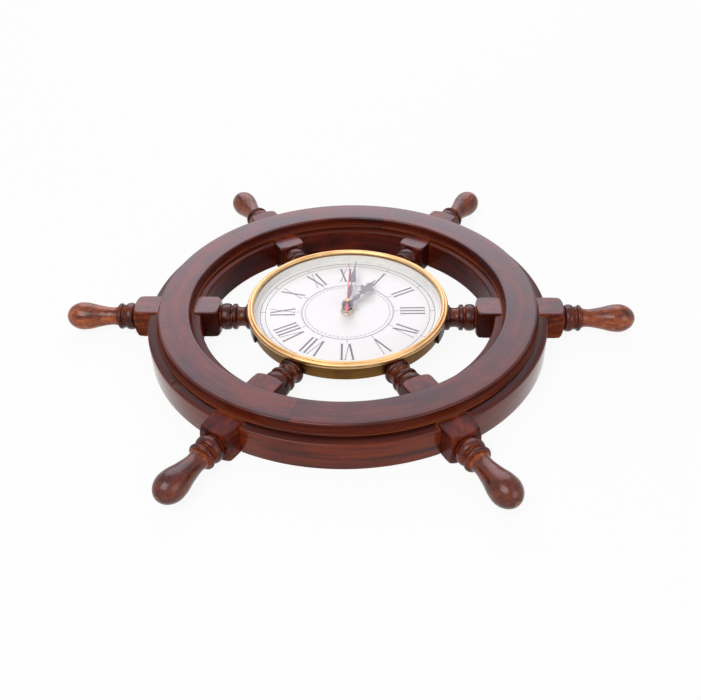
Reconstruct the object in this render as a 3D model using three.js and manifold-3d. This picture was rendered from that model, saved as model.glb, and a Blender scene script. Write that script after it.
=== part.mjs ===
// Ship wheel clock: a six-spoked turned wooden wheel that lies on its flat back, with a domed
// quartz clock in a brass case at its hub. Millimetres, +Z out of the dial, +Y towards twelve
// o'clock, +X towards three, origin on the back plane under the hub's centre.

import * as THREE from 'three';
import { mergeVertices } from 'three/addons/utils/BufferGeometryUtils.js';
import Module from 'manifold-3d';

const wasm = await Module();
wasm.setup();

// Fits
const SEAT = 0.3; // gap between two pieces that touch
const RUNNING = 0.15; // radial clearance of an arbor or pipe in its bore
const THROUGH = 1; // how far a cutting tool runs past the faces that it cuts

// Facets of a full turn
const RIM_FACETS = 60;
const CASE_FACETS = 48;
const BLOCK_FACETS = 24;
const FINE_FACETS = 12;
const ARBOR_FACETS = 10;

// Clock case: the wheel's inner radius follows from it
const CASE_RADIUS = 77;
const CASE_WALL = 0.8;
const CASE_DROP = 1.6; // case bottom below the spoke axis
const CASE_LIP = 14; // inturned flange at the case's bottom
const HUB_BELOW = 0.8; // hub bottom above the spokes' underside
const HUB_COVER = 0.8; // least wood between a tenon and the dial
const CHEEK = { thickness: 1.7, gap: 2.5, span: 17.4, rise: 8.5 };
const DIAL_THICK = 0.5;
const SPACER_WIDTH = 1.9;
const GLASS_THICK = 1.8;
const GLASS_RIM = 2.8; // flat rim of the glass outside its dome
const GLASS_DOME = 7.6;
const GLASS_FULLNESS = 5; // power of the dome's fall towards its rim
const HAND_AIR = 0.5; // least air between a hand's tip and the glass
const BEZEL_PROUD = 3; // bezel outside the case
const BEZEL_EASE = { inward: 0.5, upward: 0.8 }; // turned edge at the bezel's foot
const BEZEL_BEAD = { width: 1.1, height: 1.1 }; // outer bead, below the groove
const BEZEL_GROOVE = { inward: 2.1, drop: 1.7 }; // from the bezel's outside and from its crest
const BEZEL_CREST = { inward: 3.1, rise: 2.6 }; // from the outside, and above the glass rim
const BEZEL_LIP = { overhang: 2.4, thick: 0.6, slope: 1.4 };
const BEZEL_SKIRT = 0.6; // how far the bezel laps down over the case

// Turned spokes, from the case outwards: radii of the turning and lengths along the spoke
const SPOKE_COUNT = 6;
const TENON_RADIUS = 3.5;
const TENON_DEPTH = 24;
const FOOT_BEAD = { radius: 10.4, length: 4.6, rim: 9 };
const COVE = { radius: 7.9, length: 7 };
const THIN_BEAD = { radius: 10.5, length: 3.8, rim: 9.3 };
const WAIST = { radius: 8.6, length: 1.1 };
const FAT_BEAD = { radius: 10.75, length: 7.8, rim: 9.2 };
const NECK = { radius: 8.7, length: 0.9 };
const BLOCK = 24; // side of the square that each spoke keeps where it crosses the rim
const BLOCK_PROUD = 1; // block above the felloes
const BACK_RELIEF = 0.5; // block above the back plane
const BLOCK_INWARD = 14; // block end inside the rim
const BLOCK_OUTWARD = 13.5; // block end outside the rim
const SHOULDER = { length: 4.6, step: 1 }; // turned shoulder at each end of a block
const OUTER_BEAD = { radius: 10.8, length: 7.4, rim: 9 };
const OUTER_RING = { radius: 10.1, length: 4.8, rim: 8.9 };
const GRIP_LENGTH = 42.2;
const GRIP_FORM = [[7.65, 0], [7.15, 0.13], [8.6, 0.35], [10.6, 0.55], [11.2, 0.68]]; // [radius, share]
const GRIP_STEM_STEPS = 5;
const GRIP_END_TURNS = [30, 60]; // degrees along the quarter ellipse at the grip's end

// Rim: widths and heights
const RIM_WIDTH = 41.5;
const SHELF_FALL = 0.8; // how far a felloe's top falls to its two edges
const FELLOE_EDGE = 1.2; // easing of the felloe's long edges
const FACE_INSET = 7.9; // inner shelf of the felloes inside the face ring
const FACE_WIDTH = 24.3;
const FACE_HEIGHT = 8.7;
const FACE_FLARE = 2.3; // how far the coved side of the face ring runs out at its foot
const FACE_EDGE = 0.9;
const FACE_JOINT_TURN = 17; // degrees from a spoke to a joint of the face ring

// Movement: outline, plates and battery
const MOVEMENT_TOP = 22;
const MOVEMENT_BACK = 0.6; // back cover above the back plane
const MOVEMENT_WALL = 1.2;
const COVER_THICK = 1.2;
const FRONT_THICK = 1;
const BAY_AIR = 1.1; // air between the setting knob and the wall of the battery bay
const POST_RADIUS = 1.1;
const WASHER = { radius: 10, thick: 0.5 };
const BUSH_WALL = 1.2;
const BUSH_HEIGHT = 4.9;
const NUT = { across: 10, height: 1.6 };
const HANGER = { half: 9, reach: 14, thick: 2, hole: 4, offset: 8 };
const BATTERY = { radius: 7.25, length: 49.25, nub: 2.75, nubLength: 1.25, edge: 0.4 };
const CONTACT = { thick: 0.4, half: 4, spring: 0.85 };

// Going train: teeth, modules and thicknesses
const ARBOR = 0.5;
const WHEEL_THICK = 0.8;
const AIR = 1; // air between two levels of wheels
const LEAF_OVER = 0.3; // how far a pinion runs past its wheel at each face
const TRAIN_LIFT = 1.8; // lowest wheel above the back cover
const SECONDS = { teeth: 30, module: 0.456, leaves: 6 };
const FIFTH = { teeth: 36, module: 0.35, leaves: 6, turn: -20 };
const ROTOR = { leaves: 6, magnet: 3, height: 2.2, turn: 20 };
const THIRD = { teeth: 45, leaves: 6, turn: 150, distance: 8.1 };
const CENTRE = { teeth: 48 };
const CANNON = { leaves: 8, turn: 270, flange: 1 };
const MOTION = { teeth: 24, module: 0.525, leaves: 8 };
const HOUR = { teeth: 32, thick: 1 };
const KNOB = { teeth: 12, turn: 200, radius: 4, height: 2.2, stem: 1.2 };
const MINUTE_PIPE = 1.5;
const HOUR_PIPE = 2.6;

// Stepping motor and circuit
const STATOR = { thick: 0.8, web: 4.4, half: 10, arm: 2, gap: 0.4, postInset: 2.8 };
const COIL = { radius: 3.2, air: 1, core: 0.8 };
const CIRCUIT = { width: 17, depth: 11, edge: 0.8, thick: 0.8, drop: 2, postInset: 3 };
const CRYSTAL = { radius: 1, length: 6, inward: 6, upward: 3 };

// Hands: heights above what lies below them, lengths from the spindle, and the time shown
const HAND_THICK = 0.4;
const HOUR_HAND = { lift: 2.4, boss: 4.6, length: 40, turn: 31 };
const MINUTE_HAND = { lift: 2, boss: 3.4, length: 62.4, turn: 4.9 };
const SECOND_HAND = { lift: 2, boss: 1.6, length: 55.4, tail: 13, turn: 0.2, cap: 3 };

const radians = THREE.MathUtils.degToRad;

function polar(radius, degrees) {
  return [radius * Math.cos(radians(degrees)), radius * Math.sin(radians(degrees))];
}

function beside([x, y], distance, degrees) {
  const [dx, dy] = polar(distance, degrees);
  return [x + dx, y + dy];
}

// Stations along a spoke, from the case outwards
const SPOKE_FROM = CASE_RADIUS + SEAT;
const COVE_FROM = SPOKE_FROM + FOOT_BEAD.length;
const THIN_FROM = COVE_FROM + COVE.length;
const FAT_FROM = THIN_FROM + THIN_BEAD.length + WAIST.length;
const BLOCK_FROM = FAT_FROM + FAT_BEAD.length + NECK.length;
const RIM_INNER = BLOCK_FROM + BLOCK_INWARD;
const RIM_OUTER = RIM_INNER + RIM_WIDTH;
const BLOCK_TO = RIM_OUTER + BLOCK_OUTWARD;
const OUTER_BEAD_FROM = BLOCK_TO + NECK.length;
const OUTER_RING_FROM = OUTER_BEAD_FROM + OUTER_BEAD.length + NECK.length;
const GRIP_FROM = OUTER_RING_FROM + OUTER_RING.length + NECK.length;
const TIP_RADIUS = GRIP_FROM + GRIP_LENGTH;
const FACE_INNER = RIM_INNER + FACE_INSET;
const FACE_OUTER = FACE_INNER + FACE_WIDTH;

// Places of the arbors
const thirdModule = (2 * THIRD.distance) / (SECONDS.leaves + THIRD.teeth);
const centreModule = (2 * THIRD.distance) / (THIRD.leaves + CENTRE.teeth);
const motionDistance = (MOTION.module * (CANNON.leaves + MOTION.teeth)) / 2;
const hourModule = (2 * motionDistance) / (MOTION.leaves + HOUR.teeth);
const CENTRE_AT = [0, 0];
const FIFTH_AT = beside(CENTRE_AT, (SECONDS.module * (SECONDS.teeth + FIFTH.leaves)) / 2, FIFTH.turn);
const ROTOR_AT = beside(FIFTH_AT, (FIFTH.module * (FIFTH.teeth + ROTOR.leaves)) / 2, ROTOR.turn);
const THIRD_AT = beside(CENTRE_AT, THIRD.distance, THIRD.turn);
const MOTION_AT = beside(CENTRE_AT, motionDistance, CANNON.turn);
const KNOB_AT = beside(MOTION_AT, (MOTION.module * (MOTION.teeth + KNOB.teeth)) / 2, KNOB.turn);

// Wooden levels
const AXIS = BACK_RELIEF + BLOCK / 2;
const FELLOE_TOP = AXIS + BLOCK / 2 - BLOCK_PROUD;
const FACE_FOOT = FELLOE_TOP + SEAT;
const FACE_TOP = FACE_FOOT + FACE_HEIGHT;

// Dial levels: the dial lies clear of the battery and of the spokes' tenons below it
const BATTERY_LEVEL = MOVEMENT_BACK + 2 * BATTERY.radius + SEAT + FRONT_THICK + SEAT + WASHER.thick;
const TENON_LEVEL = AXIS + TENON_RADIUS + SEAT + HUB_COVER;
const DIAL_BACK = Math.max(BATTERY_LEVEL, TENON_LEVEL) + SEAT;
const DIAL_FACE = DIAL_BACK + DIAL_THICK;
const MOVEMENT_FRONT = DIAL_BACK - SEAT - WASHER.thick - SEAT;
const TRAIN_FLOOR = MOVEMENT_BACK + COVER_THICK;
const TRAIN_ROOF = MOVEMENT_FRONT - FRONT_THICK;

// Case and hub levels
const BEZEL_RADIUS = CASE_RADIUS + BEZEL_PROUD;
const CASE_INNER = CASE_RADIUS - CASE_WALL;
const CASE_BOTTOM = AXIS - CASE_DROP;
const BEZEL_FOOT = AXIS + FOOT_BEAD.radius + SEAT;
const CASE_TOP = BEZEL_FOOT + BEZEL_SKIRT;
const INSERT_RADIUS = CASE_INNER - SEAT;
const HUB_TOP = DIAL_BACK - SEAT;
const HUB_BOTTOM = BACK_RELIEF + HUB_BELOW;
const HUB_STEP = CASE_BOTTOM + CASE_WALL + SEAT;

// Train levels
const ARBOR_FROM = MOVEMENT_BACK + SEAT;
const ARBOR_TO = MOVEMENT_FRONT - SEAT;
const SECONDS_LEVEL = TRAIN_FLOOR + TRAIN_LIFT;
const FIFTH_LEVEL = SECONDS_LEVEL + WHEEL_THICK + AIR;
const THIRD_LEVEL = FIFTH_LEVEL + WHEEL_THICK + AIR;
const CENTRE_LEVEL = THIRD_LEVEL + WHEEL_THICK + AIR;
const MOTION_LEVEL = CENTRE_LEVEL + WHEEL_THICK + AIR;
const HOUR_LEVEL = MOTION_LEVEL + WHEEL_THICK + AIR;

// Hands and glass: the glass clears the tip of each hand
const BUSH_TOP = MOVEMENT_FRONT + BUSH_HEIGHT;
const HOUR_HAND_TOP = BUSH_TOP + HOUR_HAND.lift + HAND_THICK;
const MINUTE_HAND_TOP = HOUR_HAND_TOP + MINUTE_HAND.lift + HAND_THICK;
const SECOND_HAND_TOP = MINUTE_HAND_TOP + SECOND_HAND.lift + HAND_THICK;
const CAP_FROM = SECOND_HAND_TOP + SEAT;
const DOME_RADIUS = INSERT_RADIUS - GLASS_RIM;
const domeHeight = (share) => GLASS_DOME * (1 - share ** GLASS_FULLNESS);
const GLASS_FOOT = Math.max(
  BEZEL_FOOT + SEAT,
  MINUTE_HAND_TOP + HAND_AIR - domeHeight(MINUTE_HAND.length / DOME_RADIUS),
  SECOND_HAND_TOP + HAND_AIR - domeHeight(SECOND_HAND.length / DOME_RADIUS),
  CAP_FROM + HAND_THICK + HAND_AIR - domeHeight(SECOND_HAND.cap / DOME_RADIUS),
);
const GLASS_TOP = GLASS_FOOT + GLASS_THICK;

// Room inside the movement
const BUSH_BORE = HOUR_PIPE + RUNNING;
const BUSH_RADIUS = BUSH_BORE + BUSH_WALL;
const BAY_WALL_TOP = KNOB_AT[1] - KNOB.radius - BAY_AIR;
const BAY_TOP = BAY_WALL_TOP - FRONT_THICK;
const BATTERY_AXIS = { y: BAY_TOP - SEAT - BATTERY.radius, z: TRAIN_ROOF - SEAT - BATTERY.radius };
const BAY_BOTTOM = BATTERY_AXIS.y - BATTERY.radius - SEAT;
const MOVEMENT_BOTTOM = BAY_BOTTOM - MOVEMENT_WALL;
const BATTERY_END = (BATTERY.length + BATTERY.nubLength) / 2 + SEAT;
const COIL_X = ROTOR_AT[0] + STATOR.web + SEAT + COIL.radius;
const MOVEMENT_INNER = Math.max(BATTERY_END + CONTACT.thick + CONTACT.spring, COIL_X + COIL.radius + SEAT);
const MOVEMENT_HALF = MOVEMENT_INNER + MOVEMENT_WALL;

// Solids

function trueTriangles(index) {
  const kept = [];
  for (let i = 0; i < index.length; i += 3) {
    const [a, b, c] = [index[i], index[i + 1], index[i + 2]];
    if (a !== b && b !== c && c !== a) kept.push(a, b, c);
  }
  return kept;
}

function signedVolume(position, index) {
  const [a, b, c] = [new THREE.Vector3(), new THREE.Vector3(), new THREE.Vector3()];
  let sum = 0;
  for (let i = 0; i < index.length; i += 3) {
    a.fromBufferAttribute(position, index[i]);
    b.fromBufferAttribute(position, index[i + 1]);
    c.fromBufferAttribute(position, index[i + 2]);
    sum += a.dot(b.cross(c));
  }
  return sum / 6;
}

// A closed three.js geometry as a solid with its faces pointing out
function solid(geometry) {
  geometry.deleteAttribute('normal');
  geometry.deleteAttribute('uv');
  const merged = mergeVertices(geometry, 1e-5);
  const position = merged.getAttribute('position');
  const index = trueTriangles(merged.getIndex().array);
  if (signedVolume(position, index) < 0) index.reverse();
  const mesh = new wasm.Mesh({
    numProp: 3,
    vertProperties: new Float32Array(position.array),
    triVerts: new Uint32Array(index),
  });
  return new wasm.Manifold(mesh);
}

// A profile of [radius, z] points turned about Z; it starts and ends on the axis or closes on itself
function turned(profile, facets) {
  const points = profile.map(([radius, z]) => new THREE.Vector2(radius, z));
  if (profile[0][0] > 0) points.push(points[0].clone());
  return solid(new THREE.LatheGeometry(points, facets).rotateX(Math.PI / 2));
}

function rod(radius, from, to, facets = FINE_FACETS) {
  return turned([[0, from], [radius, from], [radius, to], [0, to]], facets);
}

function pipe(outer, inner, from, to, facets = FINE_FACETS) {
  return turned([[inner, from], [outer, from], [outer, to], [inner, to]], facets);
}

// A round cutting tool that runs past both faces
function drill(radius, from, to, facets = FINE_FACETS) {
  return rod(radius, from - THROUGH, to + THROUGH, facets);
}

function prism(shape, from, to) {
  const options = { depth: to - from, bevelEnabled: false, curveSegments: 8 };
  const geometry = new THREE.ExtrudeGeometry(shape, options);
  return solid(geometry.translate(0, 0, from));
}

const outline = (points) => new THREE.Shape(points.map(([x, y]) => new THREE.Vector2(x, y)));

function box(x, y, z) {
  const geometry = new THREE.BoxGeometry(x[1] - x[0], y[1] - y[0], z[1] - z[0]);
  return solid(geometry.translate((x[0] + x[1]) / 2, (y[0] + y[1]) / 2, (z[0] + z[1]) / 2));
}

// What lies between two directions from the axis, drawn back by inset from both
function sector(from, to, inset) {
  const half = (to - from) / 2;
  const apex = polar(inset / Math.sin(radians(half)), from + half);
  const corner = (degrees) => beside(apex, 2 * TIP_RADIUS, degrees);
  return prism(outline([apex, corner(from), corner(to)]), -TIP_RADIUS, TIP_RADIUS);
}

const spokeAngle = (spoke) => (spoke * 360) / SPOKE_COUNT;

// A solid made along X at the spoke axis, turned to a spoke's direction
const alongSpoke = (shape, spoke) => shape.translate([0, 0, AXIS]).rotate([0, 0, spokeAngle(spoke)]);

const together = (solids) => solids.reduce((whole, next) => whole.add(next));

const SPOKES = [...Array(SPOKE_COUNT).keys()];

const atEachSpoke = (shape) => together(SPOKES.map((spoke) => alongSpoke(shape, spoke)));

// Half an ellipse that swells from rim to radius over length, as profile points
function swell({ radius, length, rim }, start, steps) {
  const points = [];
  for (let i = 0; i <= steps; i += 1) {
    const turn = (Math.PI * i) / steps;
    points.push([rim + (radius - rim) * Math.sin(turn), start + (length * (1 - Math.cos(turn))) / 2]);
  }
  return points;
}

// Materials

const finish = (color, roughness, metalness = 0) =>
  new THREE.MeshStandardMaterial({ color, roughness, metalness, flatShading: true });

const MAHOGANY = finish('#5a2a22', 0.3);
const TURNED_MAHOGANY = finish('#6e3421', 0.25);
const POLISHED_BRASS = finish('#dfb06e', 0.25, 1);
const AGED_BRASS = finish('#7d5c38', 0.45, 1);
const ENAMEL = finish('#f7f7f8', 0.5);
const CLEAR_GLASS = finish('#e8eef0', 0.05);
const HAND_GREY = finish('#85808a', 0.5);
const HAND_RED = finish('#e86a78', 0.5);
const BLACK_PLASTIC = finish('#1d1d20', 0.5);
const PALE_PLASTIC = finish('#e9e6dc', 0.5);
const STEEL = finish('#b9bcc0', 0.35, 1);
const COPPER = finish('#b5662f', 0.35, 1);
const RUBBER = finish('#2a2a2c', 0.9);
const CIRCUIT_GREEN = finish('#2f6b45', 0.5);
const BATTERY_JACKET = finish('#3c4a5a', 0.35);

const clock = new THREE.Group();

function place(name, shape, material, [x, y] = CENTRE_AT) {
  const { vertProperties, triVerts } = shape.getMesh();
  const geometry = new THREE.BufferGeometry();
  geometry.setAttribute('position', new THREE.BufferAttribute(vertProperties, 3));
  geometry.setIndex(new THREE.BufferAttribute(triVerts, 1));
  geometry.computeVertexNormals();
  const mesh = new THREE.Mesh(geometry, material);
  mesh.name = name;
  mesh.position.set(x, y, 0);
  clock.add(mesh);
}

// Rim: felloes between the spoke blocks, and a coved face ring over their joints

const felloeShelf = FELLOE_TOP - SHELF_FALL;
const FELLOE_PROFILE = [
  [RIM_INNER + FELLOE_EDGE, 0],
  [RIM_OUTER - FELLOE_EDGE, 0],
  [RIM_OUTER, FELLOE_EDGE],
  [RIM_OUTER, felloeShelf - FELLOE_EDGE],
  [RIM_OUTER - FELLOE_EDGE, felloeShelf],
  [FACE_OUTER + FACE_FLARE, FELLOE_TOP],
  [FACE_INNER - FACE_FLARE, FELLOE_TOP],
  [RIM_INNER + FELLOE_EDGE, felloeShelf],
  [RIM_INNER, felloeShelf - FELLOE_EDGE],
  [RIM_INNER, FELLOE_EDGE],
];

const coveHeight = FACE_FOOT + FACE_HEIGHT / 2;
const coveFlare = FACE_FLARE / 4;
const FACE_PROFILE = [
  [FACE_INNER - FACE_FLARE, FACE_FOOT],
  [FACE_OUTER + FACE_FLARE, FACE_FOOT],
  [FACE_OUTER + FACE_FLARE, FACE_FOOT + FACE_EDGE],
  [FACE_OUTER + coveFlare, coveHeight],
  [FACE_OUTER, FACE_TOP - FACE_EDGE],
  [FACE_OUTER - FACE_EDGE, FACE_TOP],
  [FACE_INNER + FACE_EDGE, FACE_TOP],
  [FACE_INNER, FACE_TOP - FACE_EDGE],
  [FACE_INNER - coveFlare, coveHeight],
  [FACE_INNER - FACE_FLARE, FACE_FOOT + FACE_EDGE],
];

const blockHalf = BLOCK / 2;
const roomHalf = blockHalf + SEAT;
const room = box([BLOCK_FROM, BLOCK_TO], [-roomHalf, roomHalf], [-AXIS - SEAT, roomHalf]);
const blockRoom = atEachSpoke(room);
const felloeRing = turned(FELLOE_PROFILE, RIM_FACETS).subtract(blockRoom);
const faceRing = turned(FACE_PROFILE, RIM_FACETS).subtract(blockRoom);
for (let i = 0; i < SPOKE_COUNT; i += 1) {
  place(`felloe_${i + 1}`, felloeRing.intersect(sector(spokeAngle(i), spokeAngle(i + 1), 0)), MAHOGANY);
  const joint = spokeAngle(i) + FACE_JOINT_TURN;
  const segment = faceRing.intersect(sector(joint, joint + spokeAngle(1), SEAT / 2));
  place(`face_segment_${i + 1}`, segment, MAHOGANY);
}

// Spokes: tenon, baluster, square block with turned shoulders, bead, ring and grip in one piece

// A smooth stem up to the bulb, then a quarter of an ellipse to the tip
function gripProfile() {
  const stations = GRIP_FORM.map(([radius, share]) => [radius, GRIP_FROM + share * GRIP_LENGTH]);
  const curve = new THREE.SplineCurve(stations.map(([radius, x]) => new THREE.Vector2(radius, x)));
  const stem = curve.getPoints(GRIP_STEM_STEPS).map(({ x, y }) => [x, y]);
  const [bulbRadius, bulbFrom] = stem.at(-1);
  const end = GRIP_END_TURNS.map((degrees) => {
    const [radius, height] = polar(1, degrees);
    return [bulbRadius * radius, bulbFrom + (TIP_RADIUS - bulbFrom) * height];
  });
  return [...stem, ...end, [0, TIP_RADIUS]];
}

function spokeProfile() {
  return [
    [0, SPOKE_FROM - TENON_DEPTH],
    [TENON_RADIUS, SPOKE_FROM - TENON_DEPTH],
    [TENON_RADIUS, SPOKE_FROM],
    ...swell(FOOT_BEAD, SPOKE_FROM, 4),
    [COVE.radius, COVE_FROM + COVE.length / 2],
    ...swell(THIN_BEAD, THIN_FROM, 3),
    [WAIST.radius, FAT_FROM - WAIST.length / 2],
    ...swell(FAT_BEAD, FAT_FROM, 4),
    [NECK.radius, BLOCK_FROM - NECK.length / 2],
    [NECK.radius, BLOCK_TO + NECK.length / 2],
    ...swell(OUTER_BEAD, OUTER_BEAD_FROM, 4),
    [NECK.radius, OUTER_RING_FROM - NECK.length / 2],
    ...swell(OUTER_RING, OUTER_RING_FROM, 3),
    ...gripProfile(),
  ];
}

// The square block under a turned envelope, which rounds its two shoulders
function spokeBlock() {
  const corner = blockHalf * Math.SQRT2 + SEAT;
  const shoulder = [
    [0, 0],
    [NECK.radius + SHOULDER.step, 0],
    [blockHalf, SHOULDER.length / 4],
    [corner, SHOULDER.length],
  ];
  const inner = shoulder.map(([radius, depth]) => [radius, BLOCK_FROM + depth]);
  const outer = shoulder.map(([radius, depth]) => [radius, BLOCK_TO - depth]).reverse();
  const sides = [-blockHalf, blockHalf];
  return turned([...inner, ...outer], BLOCK_FACETS)
    .intersect(box(sides, sides, [BLOCK_FROM - THROUGH, BLOCK_TO + THROUGH]));
}

const spokeShape = turned(spokeProfile(), FINE_FACETS).add(spokeBlock()).rotate([0, 90, 0]);
SPOKES.forEach((spoke) => place(`spoke_${spoke + 1}`, alongSpoke(spokeShape, spoke), TURNED_MAHOGANY));

// Hub, case and cheeks

const tenonHole = rod(TENON_RADIUS + SEAT, SPOKE_FROM - TENON_DEPTH - SEAT, SPOKE_FROM + SEAT);
const tenonRoom = atEachSpoke(tenonHole.rotate([0, 90, 0]));

function hub() {
  const lower = CASE_RADIUS - CASE_LIP - SEAT;
  const disc = turned([
    [0, HUB_BOTTOM], [lower - FELLOE_EDGE, HUB_BOTTOM], [lower, HUB_BOTTOM + FELLOE_EDGE],
    [lower, HUB_STEP], [INSERT_RADIUS, HUB_STEP], [INSERT_RADIUS, HUB_TOP], [0, HUB_TOP],
  ], CASE_FACETS);
  const half = MOVEMENT_HALF + SEAT;
  const through = [HUB_BOTTOM - THROUGH, HUB_TOP + THROUGH];
  const window = box([-half, half], [MOVEMENT_BOTTOM - SEAT, MOVEMENT_TOP + SEAT], through);
  const hangerHalf = HANGER.half + SEAT;
  const hangerReach = [MOVEMENT_TOP, MOVEMENT_TOP + HANGER.reach + SEAT];
  const hangerPocket = box([-hangerHalf, hangerHalf], hangerReach, [HUB_BOTTOM - THROUGH, AXIS]);
  return disc.subtract(window).subtract(hangerPocket).subtract(tenonRoom);
}

function brassCase() {
  const lip = CASE_RADIUS - CASE_LIP;
  const shell = turned([
    [lip, CASE_BOTTOM], [CASE_RADIUS, CASE_BOTTOM], [CASE_RADIUS, CASE_TOP],
    [CASE_INNER, CASE_TOP], [CASE_INNER, CASE_BOTTOM + CASE_WALL], [lip, CASE_BOTTOM + CASE_WALL],
  ], CASE_FACETS);
  return shell.subtract(tenonRoom);
}

place('hub', hub(), MAHOGANY);
place('clock_case', brassCase(), AGED_BRASS);

// Two cheeks hug the case beside each of the two level spokes, clear of the spoke's foot
const cheekOuter = SPOKE_FROM + CHEEK.thickness;
const cheekRing = pipe(cheekOuter, SPOKE_FROM, CASE_BOTTOM, AXIS + CHEEK.rise, CASE_FACETS);
const cheekFrom = THREE.MathUtils.radToDeg(Math.asin((FOOT_BEAD.radius + CHEEK.gap) / SPOKE_FROM));
const cheekTo = cheekFrom + CHEEK.span;
const CHEEKS = {
  right_upper: [cheekFrom, cheekTo],
  left_upper: [180 - cheekTo, 180 - cheekFrom],
  left_lower: [180 + cheekFrom, 180 + cheekTo],
  right_lower: [360 - cheekTo, 360 - cheekFrom],
};
for (const [name, [from, to]] of Object.entries(CHEEKS)) {
  place(`hub_cheek_${name}`, cheekRing.intersect(sector(from, to, 0)), MAHOGANY);
}

// Dial, spacer, glass and bezel

place('dial', pipe(INSERT_RADIUS, BUSH_RADIUS + SEAT, DIAL_BACK, DIAL_FACE, CASE_FACETS), ENAMEL);
const spacerInner = INSERT_RADIUS - SPACER_WIDTH;
const spacer = pipe(INSERT_RADIUS, spacerInner, DIAL_FACE + SEAT, GLASS_FOOT - SEAT, CASE_FACETS);
place('spacer_ring', spacer, PALE_PLASTIC);

// Flat rim, then a full dome: height = GLASS_DOME (1 - (r / dome radius)^GLASS_FULLNESS)
function glassProfile() {
  const rings = [0, 0.45, 0.7, 0.87];
  const under = rings.map((share) => [DOME_RADIUS * share, GLASS_FOOT + domeHeight(share)]);
  const over = rings.map((share) => [DOME_RADIUS * share, GLASS_TOP + domeHeight(share)]).reverse();
  const rim = [[DOME_RADIUS, GLASS_FOOT], [INSERT_RADIUS, GLASS_FOOT], [INSERT_RADIUS, GLASS_TOP]];
  return [...under, ...rim, [DOME_RADIUS, GLASS_TOP], ...over];
}

place('dome_glass', turned(glassProfile(), CASE_FACETS), CLEAR_GLASS);

function bezel() {
  const bore = CASE_RADIUS + SEAT;
  const lip = INSERT_RADIUS - BEZEL_LIP.overhang;
  const lipFoot = GLASS_TOP + SEAT;
  const crest = GLASS_TOP + BEZEL_CREST.rise;
  return turned([
    [bore, BEZEL_FOOT],
    [BEZEL_RADIUS - BEZEL_EASE.inward, BEZEL_FOOT],
    [BEZEL_RADIUS, BEZEL_FOOT + BEZEL_EASE.upward],
    [BEZEL_RADIUS, crest - 2 * BEZEL_BEAD.height],
    [BEZEL_RADIUS - BEZEL_BEAD.width, crest - BEZEL_BEAD.height],
    [BEZEL_RADIUS - BEZEL_GROOVE.inward, crest - BEZEL_GROOVE.drop],
    [BEZEL_RADIUS - BEZEL_CREST.inward, crest],
    [lip + BEZEL_LIP.slope, crest - BEZEL_LIP.thick],
    [lip, lipFoot + BEZEL_LIP.thick],
    [lip, lipFoot],
    [CASE_INNER, lipFoot],
    [CASE_INNER, CASE_TOP + SEAT],
    [bore, CASE_TOP + SEAT],
  ], CASE_FACETS);
}

place('bezel', bezel(), POLISHED_BRASS);

// Gears

const WHEEL_TOOTH = { root: 1.15, tip: 0.85, rootHalf: 0.28, tipHalf: 0 };
const PINION_LEAF = { root: 1.2, tip: 0.7, rootHalf: 0.2, tipHalf: 0.09 };

// Tooth outline: root and tip are in modules from the pitch circle, half widths are in pitches
function toothed(teeth, module, form, phase) {
  const pitch = 360 / teeth;
  const radius = (module * teeth) / 2;
  const points = [];
  for (let i = 0; i < teeth; i += 1) {
    const at = phase + i * pitch;
    points.push(polar(radius - form.root * module, at - form.rootHalf * pitch));
    points.push(polar(radius + form.tip * module, at - form.tipHalf * pitch));
    if (form.tipHalf > 0) points.push(polar(radius + form.tip * module, at + form.tipHalf * pitch));
    points.push(polar(radius - form.root * module, at + form.rootHalf * pitch));
  }
  return outline(points);
}

// Phase of a gear that meshes with one of the given phase, seen in the direction toDegrees
function meshing(phase, teeth, toDegrees, otherTeeth) {
  const share = ((toDegrees - phase) * teeth) / 360;
  return toDegrees + 180 - (360 / otherTeeth) * (0.5 - share);
}

function wheel(teeth, module, phase, level, thick = WHEEL_THICK) {
  return prism(toothed(teeth, module, WHEEL_TOOTH, phase), level, level + thick);
}

function pinion(leaves, module, phase, level, thick = WHEEL_THICK) {
  return prism(toothed(leaves, module, PINION_LEAF, phase), level - LEAF_OVER, level + thick + LEAF_OVER);
}

const arbor = (from = ARBOR_FROM, to = ARBOR_TO) => rod(ARBOR, from, to, ARBOR_FACETS);

place('seconds_wheel', together([
  arbor(ARBOR_FROM, SECOND_HAND_TOP),
  wheel(SECONDS.teeth, SECONDS.module, 0, SECONDS_LEVEL),
  pinion(SECONDS.leaves, thirdModule, 0, THIRD_LEVEL),
]), STEEL);

place('fifth_wheel', together([
  arbor(),
  pinion(FIFTH.leaves, SECONDS.module, meshing(0, SECONDS.teeth, FIFTH.turn, FIFTH.leaves), SECONDS_LEVEL),
  wheel(FIFTH.teeth, FIFTH.module, 0, FIFTH_LEVEL),
]), PALE_PLASTIC, FIFTH_AT);

const magnetFrom = CENTRE_LEVEL - AIR;
place('rotor', together([
  arbor(),
  pinion(ROTOR.leaves, FIFTH.module, meshing(0, FIFTH.teeth, ROTOR.turn, ROTOR.leaves), FIFTH_LEVEL),
  rod(ROTOR.magnet, magnetFrom, magnetFrom + ROTOR.height),
]), BLACK_PLASTIC, ROTOR_AT);

place('third_wheel', together([
  arbor(),
  wheel(THIRD.teeth, thirdModule, meshing(0, SECONDS.leaves, THIRD.turn, THIRD.teeth), THIRD_LEVEL),
  pinion(THIRD.leaves, centreModule, 0, CENTRE_LEVEL),
]), PALE_PLASTIC, THIRD_AT);

const centrePhase = meshing(0, THIRD.leaves, THIRD.turn + 180, CENTRE.teeth);
const centreBore = drill(MINUTE_PIPE + RUNNING, CENTRE_LEVEL, CENTRE_LEVEL + WHEEL_THICK);
const centreWheel = wheel(CENTRE.teeth, centreModule, centrePhase, CENTRE_LEVEL);
place('centre_wheel', centreWheel.subtract(centreBore), STEEL);

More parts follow.
